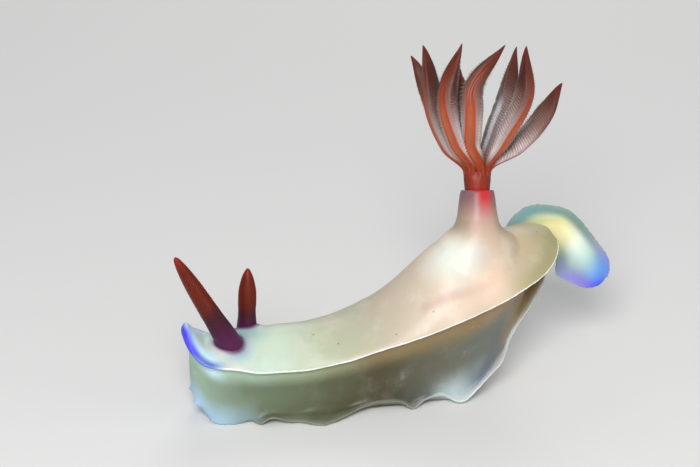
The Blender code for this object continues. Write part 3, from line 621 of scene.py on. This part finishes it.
def rhinophore_radius(height, slant, length, radius, full, angle):
    """The club's slanting leaves stand out from its core, and fade at the stalk and the bare tip."""
    low = CLUB_FOOT * length
    if height < low:
        t = (height + CLUB_SUNK) / (low + CLUB_SUNK)
        plain = radius * (1.18 - 0.21 * smooth(0.2, 1.0, t))
    else:
        t = (height - low) / (length - low)
        plain = radius * (slender_club(t) * (1 - full) + full_club(t) * full)
    bare = smooth(length - 0.6, length - 0.2, height)
    in_club = smooth(low - 0.7, low + 0.5, height + slant) * (1 - bare)
    phase = (height - low + slant) / (length - low) * CLUB_LEAVES
    wave = phase - math.floor(phase)
    leaf = (1 - wave) ** 0.7 if wave > 0.25 else (wave / 0.25) ** 0.8 * 0.82
    groove = math.exp(-((angle - math.pi) / 0.16) ** 2) * 0.06 * in_club
    swell = in_club * (leaf * 0.14 - 0.07)
    return plain * (1 + swell) - groove * radius, leaf * in_club


def add_fields(mesh, fields):
    """Stores named values of the points, which the materials read."""
    for name, values in fields.items():
        layer = mesh.attributes.new(name, "FLOAT", "POINT")
        layer.data.foreach_set("value", np.array(values, np.float32))


def add_object(name, data):
    made = bpy.data.objects.new(name, data)
    bpy.context.scene.collection.objects.link(made)
    return made


def finish_mesh(name, bm, fields):
    bmesh.ops.recalc_face_normals(bm, faces=bm.faces)
    mesh = bpy.data.meshes.new(name)
    bm.to_mesh(mesh)
    bm.free()
    add_fields(mesh, fields)
    mesh.shade_smooth()
    return add_object(name, mesh)


# Gill

def make_stem():
    """The gill's stem, with a flute under each branch and the anal papilla on top."""
    _, rim, axis, _ = pocket_axis()
    inside = RIM_RADIUS - POCKET_WALL - 0.22
    radius = curve_of((STEM_LOW, inside * 0.8), (-2.5, inside * 0.95), (-0.4, inside),
                      (0.4, STEM_RADIUS - 0.2), (1.2, STEM_RADIUS - 0.16), (STEM_RISE, STEM_RADIUS - 0.22),
                      (STEM_RISE + 0.5, STEM_RADIUS - 0.45), (STEM_RISE + 0.85, 0.75),
                      (STEM_RISE + 1.4, 0.45), (STEM_TOP, 0.1))
    turns = [math.radians(branch[0]) for branch in CROWN]
    bm = bmesh.new()
    rows, height, side = [], [], []
    along, right = crown_axes(axis)
    for h in np.linspace(STEM_LOW, STEM_TOP, STEM_ROWS):
        row = []
        for angle in turn_marks(STEM_SIDES):
            near = min(abs((angle - turn + math.pi) % (2 * math.pi) - math.pi) for turn in turns)
            flute = 0.10 * (math.exp(-(near / 0.26) ** 2) - 0.3) * smooth(0.0, STEM_RISE, h)
            out = along * math.cos(angle) + right * math.sin(angle)
            row.append(bm.verts.new(Vector(rim + axis * h + out * radius(h) * (1 + flute)) * MM))
            height.append(h)
            side.append(abs(math.cos(angle)))
        rows.append(row)
    add_faces(bm, rows)
    return finish_mesh("gill_core", bm, {"height": height, "side": side})


def crown_place():
    _, rim, axis, _ = pocket_axis()
    top = rim + axis * (STEM_RISE + 0.1)
    along, right = crown_axes(axis)
    return lambda p: top + along * p[0] + right * p[1] + axis * p[2]


def crown_axes(axis):
    turn = math.radians(CROWN_TURN)
    level = np.array((math.cos(turn), -math.sin(turn), 0.0))
    along = unit(level - axis * np.dot(level, axis))
    return along, np.cross(axis, along)


def branch_frames(root, low, belly, tip, count):
    """Even stations along a branch: each its point, and its directions ahead, outward and sideways."""
    sunk = root * (0.98, 0.98, 0) - np.array((0, 0, 1.3))
    knots = [sunk, root, low, belly, tip]
    lengths = [0.0, *np.cumsum([np.linalg.norm(b - a) for a, b in zip(knots, knots[1:])])]
    path = curve_of(*zip(lengths, knots))
    frames = []
    for s in np.linspace(0, lengths[-1], count):
        ahead = unit(path(min(s + 0.1, lengths[-1])) - path(max(s - 0.1, 0)))
        outward = path(s) * (1, 1, 0)
        outward = unit(outward - ahead * np.dot(outward, ahead))
        frames.append((path(s), ahead, outward, np.cross(ahead, outward)))
    return frames


def make_branch(number, bearing, low, belly, tip, place):
    """A petal with two ridges on its outer face, and thin leaves, long and short, on both its sides."""
    turn = math.radians(bearing)
    root = np.array((math.cos(turn), math.sin(turn), 0.0)) * ROOT_RING
    path = root, *(np.array(p, float) for p in (low, belly, tip))
    bm = bmesh.new()
    fields = {"along": [], "ridge": [], "inward": [], "leaf": []}
    rows = []
    for i, station in enumerate(branch_frames(*path, PETAL_RINGS)):
        t = i / (PETAL_RINGS - 1)
        row = []
        for angle in turn_marks(PETAL_SIDES):
            across, out, ridge, inward = petal_point(t, angle)
            row.append(petal_vert(bm, station, across, out, 0.0, place))
            for key, value in zip(fields, (t, ridge, inward, 0.0)):
                fields[key].append(value)
        rows.append(row)
    add_faces(bm, rows)
    for i, station in enumerate(branch_frames(*path, LEAF_PAIRS)):
        t = i / (LEAF_PAIRS - 1)
        if FIRST_LEAF < t < LAST_LEAF:
            full = LONG_LEAF if i % 2 else SHORT_LEAF
            for side in (-1, 1):
                add_leaf(bm, station, side, t, full, fields, place, number * 100 + i * 2 + side)
    return finish_mesh(f"gill_{number}", bm, fields)


def petal_point(t, angle):
    """The petal's section at t: places sideways and outward, share of a ridge, and share of inward."""
    half, reach = petal_half(t), petal_reach(t)
    a, b = math.cos(angle), math.sin(angle)
    if b < 0:
        return half * a * (1 - 0.62 * (-b) ** 1.3), reach * b, 0.0, 0.15 - 0.85 * b
    across = half * a
    apart = ridge_apart(t)
    ridge = math.exp(-((abs(across) - apart) / 0.15) ** 2)
    out = 0.3 * half / 0.7 * b ** 0.8 + 0.08 * ridge * smooth(0, 0.25, b)
    out -= 0.08 * b * smooth(0.5, 0.0, abs(a))
    inward = 0.15 * smooth(apart + 0.06, apart + 0.26, abs(across)) * smooth(0.95, 0.8, t)
    return across, out, ridge, inward


def petal_vert(bm, station, across, out, lift, place):
    point, ahead, outward, sideways = station
    lean = max(-out, 0.0) * LEAF_LEAN
    found = point + sideways * across + outward * out + ahead * (lift + lean)
    return bm.verts.new(Vector(place(found)) * MM)


def add_leaf(bm, station, side, t, full, fields, place, seed):
    """A thin fin that runs from beside a ridge round to the petal's inner keel."""
    vary = noise.noise(Vector((seed * 0.37, 1.7, 4.1)))
    rise = LEAF_RISE * full * leaf_share(t) * (1 + 0.2 * vary)
    near_row, crest_row, far_row = [], [], []
    for k in range(LEAF_MARKS):
        share = k / (LEAF_MARKS - 1)
        angle = math.radians(LEAF_START + (LEAF_END - LEAF_START) * share)
        across, out, _, inward = petal_point(t, angle)
        grown = rise * math.sin(math.pi * (0.05 + 0.87 * share)) ** 0.7
        length = math.hypot(across, 0.6 * out)
        away_a, away_b = across / length, 0.6 * out / length
        wave = 0.05 * vary * math.sin(k * 1.1 + seed)
        for store, high, lift, leaf in ((near_row, LEAF_SUNK, -LEAF_THICK / 2, 0.2),
                                        (far_row, LEAF_SUNK, LEAF_THICK / 2, 0.2),
                                        (crest_row, grown, wave, 1.0)):
            sideways, outward = side * (across + away_a * high), out + away_b * high
            store.append(petal_vert(bm, station, sideways, outward, lift, place))
            for key, value in zip(fields, (t, 0.0, inward, leaf)):
                fields[key].append(value)
    for k in range(LEAF_MARKS - 1):
        for a, b in ((near_row, crest_row), (crest_row, far_row), (far_row, near_row)):
            bm.faces.new((a[k], a[k + 1], b[k + 1], b[k]))


# Materials

def lit(red, green, blue):
    """A colour as seen on a screen, from 0 to 255, as light."""
    return tuple((c / 255 / 12.92) if c <= 10 else ((c / 255 + 0.055) / 1.055) ** 2.4
                 for c in (red, green, blue))


class Look:
    """A node material, with short calls for its nodes.

    A source is a number, a colour as seen on a screen, the name of a mesh's field, or a node's output.
    """

    def __init__(self, name):
        self.material = bpy.data.materials.new(name)
        self.material.use_nodes = True
        self.tree = self.material.node_tree
        self.shader = self.tree.nodes["Principled BSDF"]

    def add(self, kind, inputs=(), **settings):
        """A new node, with its settings, and a source for each input that is named or numbered."""
        node = self.tree.nodes.new("ShaderNode" + kind)
        for key, value in settings.items():
            setattr(node, key, value)
        for key, source in dict(inputs).items():
            self.link(source, node.inputs[key])
        return node

    def link(self, source, socket):
        if isinstance(source, (int, float)):
            socket.default_value = source
        elif isinstance(source, tuple):
            socket.default_value = (*lit(*source), 1.0)
        elif isinstance(source, str):
            self.tree.links.new(self.field(source), socket)
        else:
            self.tree.links.new(source, socket)

    def field(self, name):
        return self.add("Attribute", attribute_name=name).outputs["Fac"]

    def place(self, part=None):
        whole = self.add("TexCoord").outputs["Object"]
        return self.add("SeparateXYZ", {0: whole}).outputs[part] if part else whole

    def math(self, kind, a, b=0.0, c=0.0):
        return self.add("Math", {0: a, 1: b, 2: c}, operation=kind).outputs[0]

    def times(self, a, b):
        return self.math("MULTIPLY", a, b)

    def stray(self, value, noise, amount):
        """The value, moved up and down by a noise."""
        return self.math("ADD", value, self.times(self.math("SUBTRACT", noise, 0.5), amount))

    def step(self, value, low, high):
        """A soft step from 0 at low to 1 at high, which may be the lower of the two."""
        ends = (low, high, 0.0, 1.0) if low < high else (high, low, 1.0, 0.0)
        inputs = zip(("Value", "From Min", "From Max", "To Min", "To Max"), (value, *ends))
        return self.add("MapRange", inputs, interpolation_type="SMOOTHSTEP").outputs["Result"]

    def near(self, point, reach):
        """How near a place is to the point, given in millimetres: 1 there, and 0 at reach."""
        node = self.add("VectorMath", {0: self.place()}, operation="DISTANCE")
        node.inputs[1].default_value = [c * MM for c in point]
        return self.step(node.outputs["Value"], reach * MM, 0.0)

    def mix(self, amount, a, b):
        return self.add("Mix", {0: amount, 6: a, 7: b}, data_type="RGBA").outputs[2]

    def tint(self, colour, amount, share, other):
        """The colour, mixed with another one by the amount times the share."""
        return self.mix(self.times(amount, share), colour, other)

    def spots(self, colour, spots):
        """The colour, with soft spots of other ones: each its place, reach, share and colour."""
        for point, reach, share, other in spots:
            colour = self.tint(colour, self.near(point, reach), share, other)
        return colour

    def ramp(self, value, stops):
        """A colour for each value, from stops: each its value and its red, green and blue."""
        node = self.add("ValToRGB", {0: value})
        elements = node.color_ramp.elements
        for stop in stops[:-2]:
            elements.new(stop[0])
        for element, stop in zip(elements, stops):
            element.position = stop[0]
        for element, stop in zip(elements, stops):
            element.color = (*lit(*stop[1:]), 1.0)
        return node.outputs[0]

    def noise(self, scale, detail=3.0, rough=0.5):
        inputs = {"Vector": self.place(), "Scale": scale, "Detail": detail, "Roughness": rough}
        return self.add("TexNoise", inputs).outputs[0]

    def bump(self, height, strength, distance):
        node = self.add("Bump", {"Height": height, "Strength": strength, "Distance": distance})
        self.link(node.outputs[0], self.shader.inputs["Normal"])

    def finish(self, colour, roughness, flesh, depth, gloss=0.1, shine=0.3):
        self.link(colour, self.shader.inputs["Base Color"])
        self.link(roughness, self.shader.inputs["Roughness"])
        for name, value in (("Subsurface Weight", flesh), ("Subsurface Radius", (1.0, 0.6, 0.4)),
                            ("Subsurface Scale", depth), ("Coat Weight", gloss),
                            ("Coat Roughness", 0.25), ("Specular IOR Level", shine)):
            self.shader.inputs[name].default_value = value
        return self.material


BACK_RAMP = (
    (0.0, 184, 214, 208), (0.14, 192, 216, 202), (0.35, 184, 190, 162), (0.50, 196, 186, 164),
    (0.66, 222, 202, 182), (0.80, 206, 188, 164), (1.0, 176, 170, 124),
)
FLANK_RAMP = (
    (0.0, 166, 190, 176), (0.16, 162, 184, 162), (0.3, 150, 162, 130), (0.45, 138, 122, 86),
    (0.75, 144, 120, 84), (0.84, 166, 130, 84), (1.0, 186, 142, 86),
)
# Painted shade: the flank's middle and low heights are darker than its top, partly their own darker tone.
MID_SIDE_TONE_AND_SHADE_RAMP = (
    (0.0, 156, 180, 164), (0.14, 108, 122, 98), (0.3, 94, 100, 74), (0.5, 80, 72, 48),
    (0.68, 102, 102, 88), (0.80, 106, 112, 106), (0.88, 160, 130, 88), (1.0, 186, 146, 88),
)
# The pale stop at 0.72 is a painted highlight on the low flank and foot, and the darker stops are partly
# painted shade.
LOW_SIDE_TONE_SHADE_AND_LIGHT_RAMP = (
    (0.0, 164, 198, 228), (0.09, 158, 186, 202), (0.16, 92, 102, 76), (0.40, 80, 78, 52),
    (0.53, 58, 50, 28), (0.63, 90, 96, 86), (0.72, 188, 202, 204), (0.78, 104, 114, 124),
    (0.88, 146, 122, 84), (1.0, 180, 142, 88),
)
# The pale stop at 0.72 is a painted highlight along the rear of the foot's margin.
FOOT_EDGE_AND_HIGHLIGHT_RAMP = (
    (0.0, 150, 184, 206), (0.16, 120, 130, 112), (0.55, 112, 112, 96), (0.72, 200, 208, 208),
    (1.0, 150, 150, 140),
)
# The near-white stop at 0.895 is a painted highlight on the tail's ridge.
TAIL_MIDDLE_AND_HIGHLIGHT_RAMP = (
    (0.70, 176, 166, 110), (0.80, 186, 198, 144), (0.85, 226, 224, 160), (0.895, 236, 246, 228),
    (0.94, 180, 212, 208), (0.98, 116, 160, 216),
)
TAIL_CLEAR_RAMP = (
    (0.70, 126, 150, 132), (0.80, 126, 168, 168), (0.88, 124, 156, 140), (0.93, 146, 160, 176),
    (0.98, 122, 122, 214),
)
RHINOPHORE_RAMP = (
    (0.0, 82, 26, 70), (0.14, 68, 20, 52), (0.28, 64, 18, 30), (0.40, 88, 24, 12), (0.6, 100, 26, 6),
    (0.85, 98, 24, 5), (1.0, 136, 30, 6),
)
STEM_RAMP = (
    (0.0, 180, 90, 90), (0.35, 190, 22, 40), (0.50, 186, 28, 20), (0.62, 140, 38, 12),
    (1.0, 138, 46, 18),
)
# The pale stops at 0.2 and 0.42 are partly painted light on the petals' lower sides, lit from the front,
# and partly their pale translucent tone.
PETAL_SIDE_TONE_AND_LIGHT_RAMP = (
    (0.1, 176, 100, 72), (0.2, 244, 222, 216), (0.42, 226, 200, 196), (0.6, 174, 136, 128),
    (0.85, 120, 64, 48),
)
# Soft spots of the back: most are its own tones, and two are painted light, marked below.
BACK_SPOTS_AND_LIGHT = (
    ((-8.5, -1.6, 9.0), 4.2, 0.55, (206, 226, 206)),
    # Painted shade between the rhinophores, in teal, partly the back's own bluish tone there.
    ((-11.8, 0.6, 9.0), 3.6, 0.75, (154, 190, 190)),
    ((-12.8, -2.4, 8.0), 2.4, 0.6, (206, 228, 232)),
    ((14.9, -4.4, 14.4), 3.8, 0.75, (238, 212, 188)),
    ((13.8, -2.2, 16.6), 2.6, 0.7, (196, 188, 184)),
    ((19.4, 0.2, 17.0), 3.0, 0.6, (206, 180, 140)),
    # Painted highlight: a pale mint patch on the crest before the pocket.
    ((11.2, -1.2, 16.4), 5.0, 0.85, (228, 236, 226)),
)
# Painted shade, in teal, beside the foot of the left rhinophore.
NECK_SHADE_SPOT = ((-12.9, -2.1, 8.0), 2.0, 0.6, (140, 178, 180))
CREAM_SPOT = ((25.8, 6.4, 14.4), 2.8, 0.8, (246, 230, 166))
LAVENDER_PLACE, LAVENDER_REACH = (26.8, 3.7, 10.5), 3.1
TIP_SPOTS = (
    ((31.0, 5.2, 10.2), 3.2, 0.85, (98, 160, 238)),
    ((30.6, 4.1, 8.4), 2.7, 1.0, (66, 60, 232)),
)
SHADED_GILL_SPOT = ((26.0, 1.5, 31.0), 6.5, 0.75, (146, 104, 94))
FLECK_MARKS = ((4.2, -0.84), (8.4, -0.82), (-2.0, -0.62), (22.5, 0.3), (-4.5, -0.3), (18.2, -0.4))
FLECKS = [(back_point(x, s), 0.16, 0.8, (70, 50, 30)) for x, s in FLECK_MARKS]
FRONT_X, BODY_LONG, POCKET_X, LINE_X = -19.0, 44.0, 15.1, 15.5


def skin_look():
    look = Look("skin")
    x = look.times(look.place("X"), 1000.0)
    broad, cloudy, fine = look.noise(120.0, 3.0), look.noise(330.0, 4.0, 0.6), look.noise(700.0, 4.0, 0.6)
    spot = look.stray(look.times(look.math("SUBTRACT", x, FRONT_X), 1 / BODY_LONG), broad, 0.16)
    colour = side_colour(look, spot)
    colour = look.tint(colour, look.step(cloudy, 0.46, 0.78), 0.13, (168, 172, 160))
    colour = look.tint(colour, look.step(fine, 0.62, 0.74), 0.09, (220, 222, 206))
    back = back_colour(look, x, spot, broad, cloudy)
    colour = look.mix(look.step("mantle", 0.3, 0.7), colour, back)
    colour = pocket_colour(look, x, colour)
    colour = front_colour(look, x, colour)
    rough = look.math("MULTIPLY_ADD", fine, 0.16, 0.36)
    look.bump(look.math("ADD", look.noise(1500.0, 5.0, 0.6), look.times(broad, 2.0)), 0.3, 0.0001)
    return look.finish(colour, rough, 0.55, 0.0012)


def back_colour(look, x, spot, broad, cloudy):
    """Pale green to cream, with soft spots, among them a painted highlight and a painted shade, an olive
    lobe, a faint streak and a few dark flecks.
    """
    back = look.ramp(spot, BACK_RAMP)
    back = look.tint(back, look.step(broad, 0.42, 0.75), 0.4, (214, 180, 166))
    back = look.tint(back, look.step(cloudy, 0.48, 0.72), 0.22, (236, 232, 218))
    back = look.spots(back, BACK_SPOTS_AND_LIGHT)
    olive = look.times(look.step("rim", 2.6, 0.4), look.step(x, 15.0, 21.0))
    back = look.tint(back, olive, 0.6, (160, 154, 108))
    patchy = look.step(look.noise(170.0, 2.0), 0.2, 0.55)
    faint = look.times(look.step("streak", 1.0, 0.0), patchy)
    back = look.tint(back, faint, 0.42, (182, 138, 132))
    return look.spots(back, FLECKS)


def side_colour(look, spot):
    """The flank in three heights, darker lower down partly as painted shade, and the foot with its margins
    and tail, with a painted highlight on the rear of the low flank and margin.
    """
    flank = look.ramp(spot, FLANK_RAMP)
    mid_side = look.ramp(spot, MID_SIDE_TONE_AND_SHADE_RAMP)
    low_side = look.ramp(spot, LOW_SIDE_TONE_SHADE_AND_LIGHT_RAMP)
    side = look.mix(look.step("depth", 0.08, 0.4), flank, mid_side)
    side = look.mix(look.step("depth", 0.55, 0.95), side, low_side)
    edge = look.ramp(spot, FOOT_EDGE_AND_HIGHLIGHT_RAMP)
    foot = look.mix(look.step("margin", 0.7, 0.98), low_side, edge)
    foot = look.mix(look.step("length", 0.66, 0.76), foot, tail_colour(look))
    on_foot = look.math("MAXIMUM", look.step("margin", 0.02, 0.3), look.step("length", 0.5, 0.56))
    return look.mix(on_foot, side, foot)


def tail_colour(look):
    """Cream in the middle with a painted highlight on the ridge, blue-green and clear at the margin, and
    violet-blue at the tip.
    """
    middle = look.ramp("length", TAIL_MIDDLE_AND_HIGHLIGHT_RAMP)
    clear = look.ramp("length", TAIL_CLEAR_RAMP)
    colour = look.mix(look.step("margin", 0.14, 0.72), middle, clear)
    colour = look.spots(colour, [CREAM_SPOT])
    lavender = look.times(look.step("margin", 0.5, 0.85), look.near(LAVENDER_PLACE, LAVENDER_REACH))
    colour = look.tint(colour, lavender, 0.7, (146, 136, 228))
    return look.spots(colour, TIP_SPOTS)


def pocket_colour(look, x, colour):
    """The pocket's rosy wall, with olive painted shade on its sides towards its front and back, and a red
    line on its left side.
    """
    # Painted shade: olive darkening of the flare's sides towards the front and back.
    flare = look.times(look.step("pocket", 0.14, 0.45), look.step(apart(look, x, POCKET_X), 0.9, 2.3))
    colour = look.tint(colour, look.step("pocket", 0.1, 0.7), 0.75, (182, 132, 128))
    colour = look.tint(colour, flare, 0.62, (150, 142, 112))
    red = look.mix(look.step(apart(look, x, LINE_X), 1.5, 0.1), (128, 92, 100), (196, 14, 26))
    red = look.mix(look.step(look.place("Y"), 0.0022, 0.0036), red, (158, 88, 92))
    return look.tint(colour, look.step("pocket", 0.5, 0.92), 0.94, red)


def apart(look, x, middle):
    return look.math("ABSOLUTE", look.math("SUBTRACT", x, middle))


def front_colour(look, x, colour):
    """The pale front rim, painted shade beside the left rhinophore's foot, the purple roots of the
    rhinophores, the white rim line and the violet brow.
    """
    front = look.times(look.step(x, -14.2, -16.6), look.step("rim", 2.3, 1.1))
    colour = look.mix(front, colour, (206, 236, 250))
    colour = look.spots(colour, [NECK_SHADE_SPOT])
    on_top = look.step("mantle", 0.5, 0.9)
    colour = look.tint(colour, look.times(look.step("horn", 1.2, 0.0), on_top), 0.4, (144, 116, 166))
    colour = look.tint(colour, look.times(look.step("horn", 0.52, 0.05), on_top), 0.92, (92, 30, 82))
    white = look.times(look.step("rim", 0.17, 0.09), look.step(x, -17.0, -15.2))
    colour = look.mix(white, colour, (252, 252, 248))
    violet = look.times(look.step(x, -14.2, -16.4), look.step("rim", 1.25, 0.35))
    pale = look.step(look.place("Z"), 0.0086, 0.0076)
    return look.mix(violet, colour, look.mix(pale, (76, 72, 226), (104, 128, 200)))


def rhinophore_look():
    look = Look("rhinophore")
    speck = look.noise(900.0, 4.0, 0.6)
    spot = look.stray("along", speck, 0.07)
    colour = look.ramp(spot, RHINOPHORE_RAMP)
    in_club = look.times(look.step("along", 0.36, 0.46), look.step("along", 0.95, 0.90))
    # Painted shade: near black in the grooves between the club's leaves.
    groove = look.times(look.step("leaf", 0.4, 0.0), in_club)
    colour = look.tint(colour, groove, 0.85, (44, 8, 6))
    colour = look.tint(colour, look.step("leaf", 0.5, 1.0), 0.35, (176, 60, 24))
    look.bump(speck, 0.2, 0.00006)
    return look.finish(colour, look.math("MULTIPLY_ADD", speck, 0.15, 0.36), 0.3, 0.0006, 0.03, 0.2)


def stem_look():
    look = Look("stem")
    speck = look.noise(500.0, 3.0)
    colour = look.ramp(look.math("MULTIPLY_ADD", "height", 1 / 7.5, 0.55), STEM_RAMP)
    # Painted shade: the stem's lower part is darker on its two sides, towards the front and back, by the
    # pocket's rim.
    edge = look.times(look.step("side", 0.45, 0.95), look.step("height", 2.2, 0.8))
    colour = look.tint(colour, edge, 0.7, (76, 34, 34))
    colour = look.tint(colour, look.step(speck, 0.45, 0.7), 0.3, (116, 34, 34))
    look.bump(speck, 0.2, 0.0001)
    return look.finish(colour, 0.46, 0.35, 0.0008, 0.02)


def gill_look():
    look = Look("gill")
    speck = look.noise(600.0, 4.0, 0.6)
    outer = look.mix("ridge", (170, 94, 62), (176, 58, 20))
    outer = look.tint(outer, look.step(speck, 0.42, 0.68), 0.35, (134, 62, 36))
    side = look.ramp("along", PETAL_SIDE_TONE_AND_LIGHT_RAMP)
    side = look.spots(side, [SHADED_GILL_SPOT])
    inner = look.mix(look.step("inward", 0.25, 0.85), side, (152, 126, 120))
    inner = look.tint(inner, look.step("leaf", 0.9, 0.1), 0.6, (120, 76, 62))
    inner = look.tint(inner, look.step(speck, 0.4, 0.7), 0.25, (156, 112, 98))
    # Painted highlight: a near white line along the petal's inner keel.
    keel_highlight = look.times(look.step("along", 0.10, 0.2), look.step("along", 0.66, 0.48))
    inner = look.tint(inner, look.times(keel_highlight, look.step("inward", 0.8, 0.96)), 0.95, (248, 240, 242))
    colour = look.mix(look.step("inward", 0.02, 0.13), outer, inner)
    colour = look.mix(look.step("along", 0.26, 0.10), colour, (146, 50, 20))
    spot = look.stray("along", speck, 0.10)
    colour = look.tint(colour, look.step(spot, 0.4, 0.92), 0.95, (90, 34, 22))
    look.bump(speck, 0.2, 0.00008)
    return look.finish(colour, look.math("MULTIPLY_ADD", speck, 0.15, 0.32), 0.45, 0.0008, 0.05, 0.25)


# Stage

def make_stage():
    bm = bmesh.new()
    bmesh.ops.create_grid(bm, x_segments=1, y_segments=1, size=3.0)
    mesh = bpy.data.meshes.new("floor")
    bm.to_mesh(mesh)
    bm.free()
    floor = add_object("floor", mesh)
    look = Look("floor")
    look.shader.inputs["Base Color"].default_value = (0.80, 0.79, 0.77, 1)
    look.shader.inputs["Roughness"].default_value = 0.85
    mesh.materials.append(look.material)
    world = bpy.data.worlds.new("studio")
    world.use_nodes = True
    sky = world.node_tree.nodes["Background"]
    sky.inputs["Color"].default_value = (0.90, 0.95, 1.0, 1)
    sky.inputs["Strength"].default_value = 0.36
    bpy.context.scene.world = world


def add_light(name, place, aim, size, power, colour=(1, 1, 1)):
    data = bpy.data.lights.new(name, "AREA")
    data.size = size
    data.energy = power
    data.color = colour
    lamp = add_object(name, data)
    lamp.location = place
    lamp.rotation_euler = (Vector(aim) - Vector(place)).to_track_quat("-Z", "Y").to_euler()


def make_lights():
    aim = (0.003, 0.0, 0.012)
    add_light("key", (-0.10, -0.30, 0.24), aim, 0.16, 1.35)
    add_light("fill", (0.30, -0.16, 0.14), aim, 0.25, 0.12, (0.95, 0.98, 1.0))
    add_light("back", (0.10, 0.30, 0.22), aim, 0.20, 0.3, (1.0, 0.98, 0.95))


def make_camera():
    turn, rise = math.radians(CAMERA_TURN), math.radians(CAMERA_RISE)
    ahead = Vector((math.sin(turn) * math.cos(rise), math.cos(turn) * math.cos(rise), -math.sin(rise)))
    camera = add_object("camera", bpy.data.cameras.new("camera"))
    camera.data.lens = CAMERA_LENS
    camera.data.sensor_width = 36.0
    camera.data.clip_start = 0.005
    camera.location = (Vector(CAMERA_AIM) - ahead * CAMERA_FAR) * MM
    camera.rotation_euler = ahead.to_track_quat("-Z", "Y").to_euler()
    bpy.context.scene.camera = camera


def main():
    bpy.context.scene.view_settings.view_transform = "Standard"
    make_stage()
    make_lights()
    make_camera()
    skin = make_skin()
    skin.data.materials.clear()
    skin.data.materials.append(skin_look())
    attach(skin, "root")
    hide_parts("mantle_front", "mantle_middle", "mantle_rear", "head", "trunk_front", "trunk_middle",
                "trunk_rear", "foot_front", "foot_middle", "foot_rear", "tail_base", "tail_tip",
                "oral_tentacle_left", "oral_tentacle_right", "rhinophore_left_sheath",
                "rhinophore_right_sheath", "gill_pocket")
    horn_look = rhinophore_look()
    for side in RHINOPHORES:
        horn = make_rhinophore(side)
        horn.data.materials.append(horn_look)
        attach(horn, "root")
        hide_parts(f"rhinophore_{side}_stalk", f"rhinophore_{side}_club")
    stem = make_stem()
    stem.data.materials.append(stem_look())
    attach(stem, "root")
    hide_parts("gill_stem", "anal_papilla")
    place, branch_look = crown_place(), gill_look()
    for number, branch in enumerate(CROWN, 1):
        gill = make_branch(number, *branch, place)
        gill.data.materials.append(branch_look)
        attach(gill, "root")
        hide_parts(f"gill_branch_{number}")


main()
